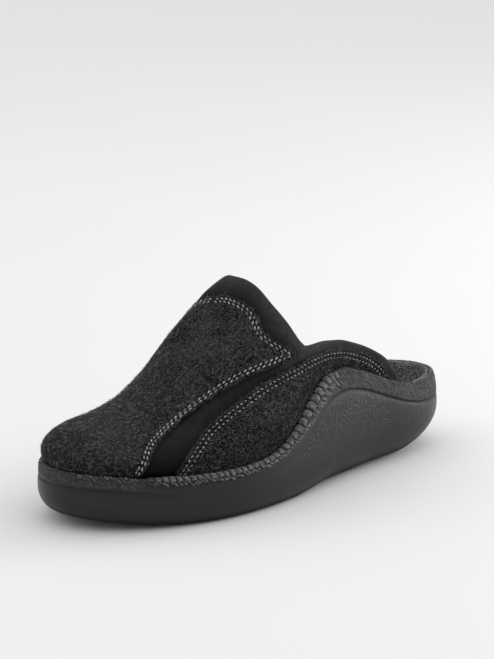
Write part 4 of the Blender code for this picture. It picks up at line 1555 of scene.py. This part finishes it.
def thread_material(colour):
    """Waxed cream sewing thread."""
    name = "Cream Thread"
    if name in bpy.data.materials:
        return bpy.data.materials[name]
    material, tree, shader = start_material(name)
    where = object_place(tree)
    fibre = noise(tree, where, 3200.0)
    base = vary(tree, noise(tree, where, 160.0), (0.3, 0.7), colour, 0.72, 1.0)
    base = blend_colours(tree, remap(tree, fibre, 0.35, 0.7, to_high=0.5), base, times(colour, 0.45))
    base = blend_colours(tree, attribute(tree, "wear"), base, times(colour, 0.25))
    feed(tree, shader, Base_Color=base, Roughness=0.75, Sheen_Weight=0.15)
    add_bump(tree, shader, fibre, strength=0.5, distance=0.0002)
    return material


def hair_material(colour):
    """Loose felt hairs, some paler than others."""
    name = "Felt Hair"
    if name in bpy.data.materials:
        return bpy.data.materials[name]
    material, tree, shader = start_material(name)
    tone = noise(tree, object_place(tree), 260.0, detail=2.0, roughness=0.5)
    feed(tree, shader, Base_Color=vary(tree, tone, (0.35, 0.65), colour, 0.4, 1.5), Roughness=0.8,
         Specular_IOR_Level=0.2)
    return material


def floor_material(colour):
    """Pale studio floor with a barely uneven finish."""
    material, tree, shader = start_material("Pale Floor")
    cloud = noise(tree, object_place(tree), 3.0, detail=2.0, roughness=0.5)
    feed(tree, shader, Base_Color=vary(tree, cloud, (0.3, 0.7), colour, 0.99, 1.0), Roughness=0.9,
         Specular_IOR_Level=0.1)
    return material


# settings


def a_length(label, description, default):
    return bpy.props.FloatProperty(name=label, description=description, default=default, unit="LENGTH")


def a_angle(label, description, default):
    return bpy.props.FloatProperty(name=label, description=description, default=default, subtype="ANGLE")


def a_power(label, description, default):
    return bpy.props.FloatProperty(name=label, description=description, default=default, unit="POWER")


def a_colour(label, description, default):
    return bpy.props.FloatVectorProperty(
        name=label, description=description, default=default, subtype="COLOR", size=3, min=0.0, max=1.0)


class SlipperSizes(bpy.types.PropertyGroup):
    """Sizes of the sewn and moulded details."""

    vamp_pitch: a_length("Vamp stitch pitch", "Distance between stitches on the vamp", 0.0034)
    vamp_stitch: a_length("Vamp stitch length", "Length of a stitch on the vamp", 0.0027)
    vamp_thread: a_length("Vamp thread", "Thickness of the thread on the vamp", 0.0010)
    vamp_slant: a_angle("Vamp stitch slant", "Turn of a vamp stitch out of its row", 0.42)
    vamp_row_1: a_length("First vamp row", "Distance of the first row from the vamp's edge", 0.0022)
    vamp_row_2: a_length("Second vamp row", "Distance of the second row from the vamp's edge", 0.0041)
    quarter_pitch: a_length("Quarter stitch pitch", "Distance between stitches on the quarters", 0.0031)
    quarter_stitch: a_length("Quarter stitch length", "Length of a stitch on the quarters", 0.0018)
    quarter_thread: a_length("Quarter thread", "Thickness of the thread on the quarters", 0.00072)
    quarter_row_1: a_length("First quarter row", "Distance of the first row from its edge", 0.0026)
    quarter_row_2: a_length("Second quarter row", "Distance of the second row from its edge", 0.0052)
    block_pitch: a_length("Rim block pitch", "Distance between the moulded blocks of the rim", 0.0041)
    block_gap: a_length("Rim block gap", "Gap between the moulded blocks of the rim", 0.00065)
    block_height: a_length("Rim block height", "How far the moulded blocks stand out", 0.0015)
    hair_count: bpy.props.IntProperty(
        name="Felt hairs", description="Number of loose hairs on the felt panels", default=7000, min=0)
    hair_length: a_length("Hair length", "Length of a loose felt hair", 0.0021)
    hair_thickness: a_length("Hair thickness", "Thickness of a loose felt hair", 0.00013)
    felt_lift: a_length("Felt pillow", "How far the felt swells out behind its sewn rows", 0.0004)


class SlipperColours(bpy.types.PropertyGroup):
    """Colours of the finishes."""

    felt: a_colour("Felt", "Charcoal felt of the vamp and quarters", (0.0172, 0.0166, 0.0188))
    footbed: a_colour("Footbed", "Grey felt of the footbed", (0.138, 0.133, 0.136))
    shell: a_colour("Microfibre", "Black microfibre of the stripe and collar", (0.0365, 0.0345, 0.0338))
    sole: a_colour("Sole", "Moulded foam rubber", (0.0056, 0.0055, 0.0059))
    band: a_colour("Rim band", "Streaky band round the rim", (0.021, 0.021, 0.0222))
    # lighter grey, partly a painted highlight of the rim blocks and leaves and partly the rear lip's lighter
    # nap
    block: a_colour("Rim blocks", "Worn tops of the rim blocks", (0.120, 0.120, 0.128))
    thread: a_colour("Thread", "Cream sewing thread", (0.52, 0.49, 0.43))
    hair: a_colour("Felt hair", "Loose hairs on the felt", (0.19, 0.19, 0.20))
    floor: a_colour("Floor", "Pale studio floor", (0.862, 0.866, 0.865))


class SlipperStage(bpy.types.PropertyGroup):
    """Camera and light."""

    azimuth: a_angle(
        "Camera turn", "Turn of the camera from the toe towards the outer side", float(np.radians(50.5)))
    elevation: a_angle("Camera tilt", "Height of the camera as an angle", float(np.radians(16.5)))
    distance: a_length("Camera distance", "Distance from the camera to the slipper", 1.5)
    focal: bpy.props.FloatProperty(
        name="Lens", description="Focal length in millimetres on a 36 mm frame", default=188.0)
    key: a_power("Key light", "Power of the side softbox", 10.0)
    top: a_power("Top light", "Power of the overhead softbox", 160.0)
    world: bpy.props.FloatProperty(name="Room light", description="Strength of the white room", default=0.50)


def mm(value):
    """A setting in millimetres."""
    return value / MM


# pieces

# points round the plan of the sole and the footbed, and strips that tie the sides of their caps
SOLE_POINTS = 640
SOLE_TIES = 24
FOOTBED_POINTS = 320
FOOTBED_TIES = 20

# contrast between the two tones of a felt, and how often the corners of the footbed's profile are cut
FOOTBED_CONTRAST = 0.55
FELT_CONTRAST = 0.95
CORNER_CUTS = 2

# first numbers of the random draws
BLOCK_SEED = 7
STITCH_SEED = 11
WEAR_SEED = 5
HAIR_SEED = 23


class SLIPPER_OT_sole(bpy.types.Operator):
    """Build the moulded sole with its groove, band and lip"""

    bl_idname = "slipper.sole"
    bl_label = "Sole"

    def execute(self, context):
        colours = context.scene.slipper_colours
        q, n = closed_curve(PLAN, SOLE_POINTS)
        x = q[:, 0]
        pairs, first_band, last_band, value = sole_pairs(x)
        points, faces = ring_faces(ring_points(q, n, pairs), SOLE_TIES)
        piece = smooth_piece("sole_moulding", points, faces, sharp=50.0)
        for name, mask in sole_masks(x, pairs, first_band, last_band, value).items():
            values = np.zeros(len(points))
            values[:mask.size] = mask.ravel()
            set_mask(piece, name, values)
        piece.data.materials.append(sole_material(colours.sole, colours.band, colours.block))
        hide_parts("sole_unit")
        return {"FINISHED"}


class SLIPPER_OT_rim_blocks(bpy.types.Operator):
    """Build the moulded blocks and leaves along the rim"""

    bl_idname = "slipper.rim_blocks"
    bl_label = "Rim blocks"

    def execute(self, context):
        sizes = context.scene.slipper_sizes
        colours = context.scene.slipper_colours
        rng = np.random.default_rng(BLOCK_SEED)
        blocks = rim_blocks(mm(sizes.block_pitch), mm(sizes.block_gap), mm(sizes.block_height), rng)
        u, v = np.meshgrid(np.linspace(-1, 1, BLOCK_COLUMNS), np.linspace(0, 1, BLOCK_ROWS), indexing="ij")
        points = np.vstack([block_points(block, u, v, rng) for block in blocks])
        size = 2 * u.size
        faces = repeat_faces(block_faces(np.arange(u.size).reshape(u.shape)), size, len(blocks))
        piece = smooth_piece("rim_blocks", points, faces, sharp=70.0)
        # the blocks and leaves take the lighter grey, a painted highlight, as far as they are not faded
        set_mask(piece, "block", np.repeat([block.fade for block in blocks], size))
        piece.data.materials.append(sole_material(colours.sole, colours.band, colours.block))
        return {"FINISHED"}


# profile of the footbed from below: inset from its side, the level of a point and its height above it
FOOTBED_PROFILE = (
    (1.2, "floor", 0.0), (0.0, "floor", 1.2), (0.0, "edge", -0.9), (0.5, "edge", -0.1), (1.5, "edge", 0.0),
    (2.4, "edge", -0.8), (3.2, "slope", 0.0), (6.0, "pad", 0.6), (12.0, "pad", 0.0),
)
FOOTBED_SLOPE = 0.6


def cut_corners(pairs):
    """A profile with each of its corners cut, so that it becomes rounder."""
    cut = [pairs[0]]
    for (a, b), (c, d) in zip(pairs[:-1], pairs[1:]):
        cut.append((a * 0.75 + c * 0.25, b * 0.75 + d * 0.25))
        cut.append((a * 0.25 + c * 0.75, b * 0.25 + d * 0.75))
    return cut + [pairs[-1]]


class SLIPPER_OT_footbed(bpy.types.Operator):
    """Build the felt footbed with its heel cup"""

    bl_idname = "slipper.footbed"
    bl_label = "Footbed"

    def execute(self, context):
        colours = context.scene.slipper_colours
        q, n = closed_curve(PLAN, FOOTBED_POINTS)
        x = q[:, 0]
        floor = sole_column("floor", x) + SEAT
        edge = floor + footbed_column("edge", x)
        pad = floor + footbed_column("drop", x)
        side = wall_inset(x) + footbed_column("step", x)
        levels = {"floor": floor, "edge": edge, "slope": edge + (pad - edge) * FOOTBED_SLOPE, "pad": pad}
        pairs = [(side + inset, levels[name] + rise) for inset, name, rise in FOOTBED_PROFILE]
        for _ in range(CORNER_CUTS):
            pairs = cut_corners(pairs)
        points, faces = ring_faces(ring_points(q, n, pairs), FOOTBED_TIES)
        piece = smooth_piece("footbed_felt", points, faces, sharp=60.0)
        piece.data.materials.append(felt_material("Grey Footbed Felt", colours.footbed, FOOTBED_CONTRAST))
        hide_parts("footbed")
        return {"FINISHED"}


# padding of the shell where it shows, by x, girth share and distances from the felt, the rim and the topline
PAD = 0.7
COLLAR_PAD = 0.9
COLLAR_PAD_X = (165.0, 135.0)
TONGUE_PAD = {OUTER: 0.5, INNER: 1.6}
TONGUE_PAD_LOW = (0.40, 0.52)
TONGUE_PAD_HIGH = (1.04, 0.74)
PAD_FELT_RUN = 5.0
PAD_RIM = (1.0, 9.0)

# rolled edge along the topline, and painted shade on the stripe between the felt panels
ROLL = 2.4
ROLL_RIM = (-2.0, 2.0)
ROLL_SINK = 0.25
ROLL_HALF = 0.1
STRIPE_SHADE = 0.65
STRIPE_FOOT_SHADE = 0.34
STRIPE_FOOT_RUN = 50.0
STRIPE_SHADE_X = (118.0, 168.0)
STRIPE_SHADE_TOP = 12.0


def felt_lines(side):
    """Cut edges of all felt panels on one side."""
    return vamp_lines(side) + quarter_lines(side)


class SLIPPER_OT_shell(bpy.types.Operator):
    """Build the microfibre shell with its stripe, padded collar and tongue band"""

    bl_idname = "slipper.shell"
    bl_label = "Shell"

    def execute(self, context):
        colours = context.scene.slipper_colours
        names = ("quarter", "stripe", "band", "vamp")
        params, faces = join_regions(names, SIDES, SHELL_TUCK, SHELL_FINENESS, SHELL_ROWS)
        x, share, side, number = params
        points = on_upper(x, share, side)
        on_band = number == names.index("band")
        shown = on_band | (number == names.index("stripe"))
        felt_gap = lines_gap(points, side, felt_lines)
        top_gap = lines_gap(points, side, topline)
        rim_gap = np.maximum(share, 0.0) * GIRTH
        tongue = on_band * ramp(share, *TONGUE_PAD_LOW) * ramp(share, *TONGUE_PAD_HIGH)
        lift = PAD + COLLAR_PAD * ramp(x, *COLLAR_PAD_X)
        lift = lift + tongue * np.where(side > 0, TONGUE_PAD[OUTER], TONGUE_PAD[INNER])
        lift = lift * ease(felt_gap / PAD_FELT_RUN) * ramp(rim_gap, *PAD_RIM) * shown
        outer = SHELL_DEPTH - lift + crease_depth(points, side, SHELL_CREASES) * shown
        inner = SHELL_DEPTH + SHELL
        t = np.clip(1 - top_gap / ROLL, 0, 1)
        roll = (1 - np.sqrt(1 - t * t)) * ramp(share * GIRTH, *ROLL_RIM)
        middle = (outer + inner) / 2 + ROLL_SINK
        outer = outer + (middle - ROLL_HALF - outer) * roll
        inner = inner + (middle + ROLL_HALF - inner) * roll
        points, faces = sheet_points(params, outer, inner, faces)
        piece = smooth_piece("shell_microfibre", points, faces, sharp=70.0)
        # painted shade on the stripe and tongue band, deepest at the foot, fading out towards x 118 and near
        # the topline
        painted_shade = np.clip(STRIPE_SHADE + STRIPE_FOOT_SHADE * ramp(rim_gap, STRIPE_FOOT_RUN, 0.0), 0, 1)
        painted_shade = painted_shade * ramp(x, *STRIPE_SHADE_X) * ease(top_gap / STRIPE_SHADE_TOP)
        set_mask(piece, "painted_shade", np.concatenate([painted_shade, painted_shade]))
        piece.data.materials.append(shell_material(colours.shell))
        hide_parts("upper")
        return {"FINISHED"}


# felt panels: painted shade towards the rim and along the sewn rows, and the least thickness left
PANEL_SHADE = {"vamp": 0.42, "quarter": 0.52}
PANEL_SHADE_RUN = {"vamp": 34.0, "quarter": 26.0}
ROW_SHADE = 0.45
ROW_SHADE_WIDTH = 0.9
PANEL_DEEPEST_SHADE = 0.8
CREASE_RIM_RUN = 8.0
PANEL_LEAST = 0.45


class SLIPPER_OT_felt_panels(bpy.types.Operator):
    """Build the felt vamp and the two felt quarters"""

    bl_idname = "slipper.felt_panels"
    bl_label = "Felt panels"

    def execute(self, context):
        sizes = context.scene.slipper_sizes
        felt = felt_material("Charcoal Felt", context.scene.slipper_colours.felt, FELT_CONTRAST)
        looks = {
            "vamp": ((mm(sizes.vamp_row_1), mm(sizes.vamp_row_2)), vamp_lines, VAMP_CREASES),
            "quarter": ((mm(sizes.quarter_row_1), mm(sizes.quarter_row_2)), quarter_lines, QUARTER_CREASES),
        }
        jobs = (
            ("vamp_felt", "vamp", SIDES, "vamp_panel"),
            ("quarter_felt_outer", "quarter", (OUTER,), "quarter_panel_outer"),
            ("quarter_felt_inner", "quarter", (INNER,), "quarter_panel_inner"),
        )
        tip = on_upper(TOE_TIP[:1], np.zeros(1), OUTER)
        for name, region, sides, node in jobs:
            rows, lines, creases = looks[region]
            params, faces = join_regions((region,), sides, PANEL_TUCK, PANEL_FINENESS, PANEL_ROWS)
            x, share, side = params[:3]
            points = on_upper(x, share, side)
            gap = lines_gap(points, side, lines)
            rim_gap = np.minimum(np.maximum(share, 0.0) * GIRTH, np.linalg.norm(points - tip, axis=1))
            outer = felt_depth(gap, rows, rim_gap, mm(sizes.felt_lift))
            outer = outer + crease_depth(points, side, creases) * ease(rim_gap / CREASE_RIM_RUN)
            outer = np.minimum(outer, FELT - PANEL_LEAST)
            points, faces = sheet_points(params, outer, FELT, faces)
            piece = smooth_piece(name, points, faces, sharp=75.0)
            # painted shade, deeper towards the rim and in the troughs of the sewn rows
            painted_shade = PANEL_SHADE[region] * ramp(rim_gap, PANEL_SHADE_RUN[region], 0.0)
            painted_shade = painted_shade + ROW_SHADE * sum(bell(gap - row, ROW_SHADE_WIDTH) for row in rows)
            painted_shade = np.clip(painted_shade, 0, PANEL_DEEPEST_SHADE)
            set_mask(piece, "painted_shade", np.concatenate([painted_shade, painted_shade]))
            piece.data.materials.append(felt)
            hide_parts(node)
        return {"FINISHED"}


# stitches: how much a quarter stitch slants beside a vamp stitch, and how unlike the stitches of a row are
QUARTER_SLANT = 0.4
SLANT_SPREAD = 0.18
LENGTH_SPREAD = 0.06
WEAR_POWER = 1.5
WEAR_MOST = 0.9


class SLIPPER_OT_stitches(bpy.types.Operator):
    """Build the double rows of cream stitches on the vamp and the quarters"""

    bl_idname = "slipper.stitches"
    bl_label = "Stitches"

    def execute(self, context):
        sizes = context.scene.slipper_sizes
        thread = thread_material(context.scene.slipper_colours.thread)
        grids = {side: upper_regions(PANEL_TUCK, PANEL_FINENESS, PANEL_ROWS, side) for side in SIDES}
        jobs = (
            ("vamp_stitches", "vamp", vamp_lines, (sizes.vamp_row_1, sizes.vamp_row_2), (False, True),
             sizes.vamp_pitch, sizes.vamp_stitch, sizes.vamp_thread, sizes.vamp_slant),
            ("quarter_stitches", "quarter", quarter_lines, (sizes.quarter_row_1, sizes.quarter_row_2),
             (True,), sizes.quarter_pitch, sizes.quarter_stitch, sizes.quarter_thread,
             sizes.vamp_slant * QUARTER_SLANT),
        )
        shape = thread_shape(turns=2.2, plies=2.0, rings=11, sides=10)
        for name, region, lines, rows, ends, pitch, stitch, thick, slant in jobs:
            parts = []
            places = [(side, from_top, row) for side in SIDES for from_top in ends for row in rows]
            for seed, (side, from_top, row) in enumerate(places, STITCH_SEED):
                run = row_at(grids[side][region][0], side, lines(side), mm(row), from_top)
                centre, along, normal = sew(run, side, mm(pitch), seed)
                rng = np.random.default_rng(seed)
                sign = 1.0 if (side > 0) != from_top else -1.0
                turn = sign * slant * (1 + SLANT_SPREAD * rng.standard_normal(len(centre)))
                half = mm(stitch) / 2 * (1 + LENGTH_SPREAD * rng.standard_normal(len(centre)))
                parts.append((centre, turned(along, normal, turn), normal, half))
            centre, along, normal, half = (np.concatenate(column) for column in zip(*parts))
            points, faces = strew(shape, centre - normal * STITCH_SINK, along, normal, half, mm(thick) / 2)
            piece = smooth_piece(name, points, faces, sharp=80.0)
            wear = np.random.default_rng(WEAR_SEED).random(len(centre)) ** WEAR_POWER * WEAR_MOST
            set_mask(piece, "wear", np.repeat(wear, len(shape[0])))
            piece.data.materials.append(thread)
        return {"FINISHED"}


# loose hairs: their share on each panel and on the rear rim, and the rings of one hair, along and thickness
HAIR_SHARES = {"vamp": 0.35, "quarter": 0.15}
HAIR_OUT = 0.2
RIM_HAIR_SHARE = 0.16
RIM_HAIR_X = (0.5, 116.0)
RIM_HAIR_FIRST = 0.4
RIM_HAIR_REACH = 7.0
RIM_HAIR_SINK = 0.05
RIM_HAIR_LENGTH = 0.55
RIM_HAIR_POWER = 1.5
HAIR_LENGTHS = (0.6, 0.8)
HAIR_RISE = 0.10
HAIR_RISE_SPREAD = 0.22
HAIR_BEND = 0.3
HAIR_ARCH = 2.2
HAIR_RINGS = ((0.0, 1.0), (0.5, 0.9), (1.0, 0.35))
HAIR_SIDES = 3


def panel_hairs(count, grid, side, rng):
    """Roots and normals of hairs strewn evenly over a panel."""
    corner = on_upper(grid[..., 0], grid[..., 1], side)
    cells = np.cross(corner[1:, :-1] - corner[:-1, :-1], corner[:-1, 1:] - corner[:-1, :-1])
    area = np.linalg.norm(cells, axis=2)
    i, j = np.divmod(rng.choice(area.size, count, p=area.ravel() / area.sum()), area.shape[1])
    a = rng.random(count)[:, None]
    b = rng.random(count)[:, None]
    x, share = sample((grid,), i, i + 1, j, a, b)[0].T
    return on_upper(x, share, side, -HAIR_OUT), upper_normal(x, share, side)


def rim_hairs(count, side, rng):
    """Roots and normals of hairs on the rear band of the rim, most of them near its crown."""
    start, end = rim_stretch(*RIM_HAIR_X, side)
    along = start + (end - start) * rng.random(count)
    point, normal = on_rim(along, RIM_HAIR_FIRST + RIM_HAIR_REACH * rng.random(count) ** RIM_HAIR_POWER)
    return point - normal * RIM_HAIR_SINK, normal


class SLIPPER_OT_felt_hairs(bpy.types.Operator):
    """Strew loose hairs over the felt panels and the rear rim"""

    bl_idname = "slipper.felt_hairs"
    bl_label = "Felt hairs"

    def execute(self, context):
        sizes = context.scene.slipper_sizes
        rng = np.random.default_rng(HAIR_SEED)
        fields = []
        for side in SIDES:
            regions = upper_regions(PANEL_TUCK, HAIR_FINENESS, PANEL_ROWS, side)
            for region, part in HAIR_SHARES.items():
                fields.append(panel_hairs(int(sizes.hair_count * part), regions[region][0], side, rng))
        on_panels = sum(len(root) for root, _ in fields)
        for side in SIDES:
            fields.append(rim_hairs(int(sizes.hair_count * RIM_HAIR_SHARE), side, rng))
        root, normal = (np.vstack(column) for column in zip(*fields))
        total = len(root)
        short = np.where(np.arange(total) < on_panels, 1.0, RIM_HAIR_LENGTH)[:, None]
        lean = rng.standard_normal((total, 3))
        lean = unit(lean - normal * (lean * normal).sum(1, keepdims=True))
        across = np.cross(normal, lean)
        reach = mm(sizes.hair_length) * drawn(rng, *HAIR_LENGTHS, (total, 1)) * short
        rise = reach * (HAIR_RISE + HAIR_RISE_SPREAD * rng.random((total, 1)) ** 2)
        bend = reach * HAIR_BEND * rng.standard_normal((total, 1))
        rings = []
        for t, thick in HAIR_RINGS:
            spine = root + lean * reach * t + across * bend * t * t + normal * rise * np.sin(HAIR_ARCH * t)
            for turn in np.arange(HAIR_SIDES) * 2 * np.pi / HAIR_SIDES:
                offset = normal * np.cos(turn) + across * np.sin(turn)
                rings.append(spine + offset * mm(sizes.hair_thickness) / 2 * thick)
        points = np.stack(rings, 1).reshape(-1, 3)
        faces = repeat_faces(tube_faces(len(HAIR_RINGS), HAIR_SIDES), len(rings), total)
        piece = smooth_piece("felt_hairs", points, faces, sharp=80.0)
        piece.data.materials.append(hair_material(context.scene.slipper_colours.hair))
        return {"FINISHED"}


# stage, in metres, apart from the camera's place along the slipper, in millimetres from the heel
FLOOR_HALF = 6.0
ROOM_COLOUR = (1.0, 0.995, 0.985, 1.0)
LIGHT_AIM = Vector((0.0, 0.0, 0.04))
SENSOR = 36.0
CLIP_END = 50.0
CAMERA_X = 144.0
CAMERA_STAND = Vector(((CAMERA_X - FRAME_SHIFT[0]) * MM, -FRAME_SHIFT[1] * MM, 0.040))
CAMERA_AIM = CAMERA_STAND + Vector((0.0, 0.0, 0.05))

# softboxes: place to the right of the aim, towards the camera and up, width and height, and share of a power
LAMPS = (
    ("side_softbox", (1.25, -0.5, 0.32), (0.7, 0.5), "key", 1.0),
    ("far_softbox", (-1.5, 0.1, 0.6), (1.0, 1.0), "key", 0.3),
    ("top_softbox", (0.0, -0.1, 3.0), (10.0, 10.0), "top", 1.0),
)


def look_at(item, target):
    """Turn a lamp or the camera towards a point."""
    item.rotation_euler = (target - item.location).to_track_quat("-Z", "Y").to_euler()


class SLIPPER_OT_stage(bpy.types.Operator):
    """Set the pale floor, the soft lights and the camera"""

    bl_idname = "slipper.stage"
    bl_label = "Stage"

    def execute(self, context):
        scene = context.scene
        stage = scene.slipper_stage
        mesh = bpy.data.meshes.new("floor")
        corners = [(a * FLOOR_HALF, b * FLOOR_HALF, 0.0) for a, b in ((-1, -1), (1, -1), (1, 1), (-1, 1))]
        mesh.from_pydata(corners, [], [(0, 1, 2, 3)])
        floor = bpy.data.objects.new("floor", mesh)
        scene.collection.objects.link(floor)
        mesh.materials.append(floor_material(scene.slipper_colours.floor))

        world = bpy.data.worlds.new("white_room")
        world.use_nodes = True
        background = world.node_tree.nodes["Background"]
        feed(world.node_tree, background, Color=ROOM_COLOUR, Strength=stage.world)
        scene.world = world

        up = Vector((0.0, 0.0, 1.0))
        view = Vector((np.cos(stage.azimuth), np.sin(stage.azimuth), 0.0))
        right = up.cross(view)
        for name, (across, nearer, higher), (width, height), setting, share in LAMPS:
            lamp = bpy.data.lights.new(name, "AREA")
            lamp.shape = "RECTANGLE"
            lamp.size = width
            lamp.size_y = height
            lamp.energy = getattr(stage, setting) * share
            item = bpy.data.objects.new(name, lamp)
            item.location = LIGHT_AIM + right * across + view * nearer + up * higher
            look_at(item, LIGHT_AIM)
            scene.collection.objects.link(item)

        lens = bpy.data.cameras.new("camera")
        lens.sensor_fit = "HORIZONTAL"
        lens.sensor_width = SENSOR
        lens.lens = stage.focal
        lens.clip_end = CLIP_END
        camera = bpy.data.objects.new("camera", lens)
        towards = view * np.cos(stage.elevation) + up * np.sin(stage.elevation)
        camera.location = CAMERA_STAND + towards * stage.distance
        look_at(camera, CAMERA_AIM)
        scene.collection.objects.link(camera)
        scene.camera = camera
        scene.view_settings.view_transform = "Standard"
        return {"FINISHED"}


class SLIPPER_PT_panel(bpy.types.Panel):
    """Lists the pieces and their settings"""

    bl_label = "Slipper"
    bl_idname = "SLIPPER_PT_panel"
    bl_space_type = "VIEW_3D"
    bl_region_type = "UI"
    bl_category = "Slipper"

    def draw(self, context):
        layout = self.layout
        for operator in OPERATORS:
            layout.operator(operator.bl_idname)
        scene = context.scene
        for group in (scene.slipper_sizes, scene.slipper_colours, scene.slipper_stage):
            box = layout.box()
            for name in group.__annotations__:
                box.prop(group, name)


OPERATORS = (
    SLIPPER_OT_sole,
    SLIPPER_OT_rim_blocks,
    SLIPPER_OT_footbed,
    SLIPPER_OT_shell,
    SLIPPER_OT_felt_panels,
    SLIPPER_OT_stitches,
    SLIPPER_OT_felt_hairs,
    SLIPPER_OT_stage,
)
CLASSES = (SlipperSizes, SlipperColours, SlipperStage) + OPERATORS + (SLIPPER_PT_panel,)


def register():
    for item in CLASSES:
        bpy.utils.register_class(item)
    bpy.types.Scene.slipper_sizes = bpy.props.PointerProperty(type=SlipperSizes)
    bpy.types.Scene.slipper_colours = bpy.props.PointerProperty(type=SlipperColours)
    bpy.types.Scene.slipper_stage = bpy.props.PointerProperty(type=SlipperStage)


def unregister():
    del bpy.types.Scene.slipper_stage
    del bpy.types.Scene.slipper_colours
    del bpy.types.Scene.slipper_sizes
    for item in reversed(CLASSES):
        bpy.utils.unregister_class(item)


def main():
    register()
    bpy.ops.slipper.sole()
    bpy.ops.slipper.rim_blocks()
    bpy.ops.slipper.footbed()
    bpy.ops.slipper.shell()
    bpy.ops.slipper.felt_panels()
    bpy.ops.slipper.stitches()
    bpy.ops.slipper.felt_hairs()
    bpy.ops.slipper.stage()


if __name__ == "__main__":
    main()
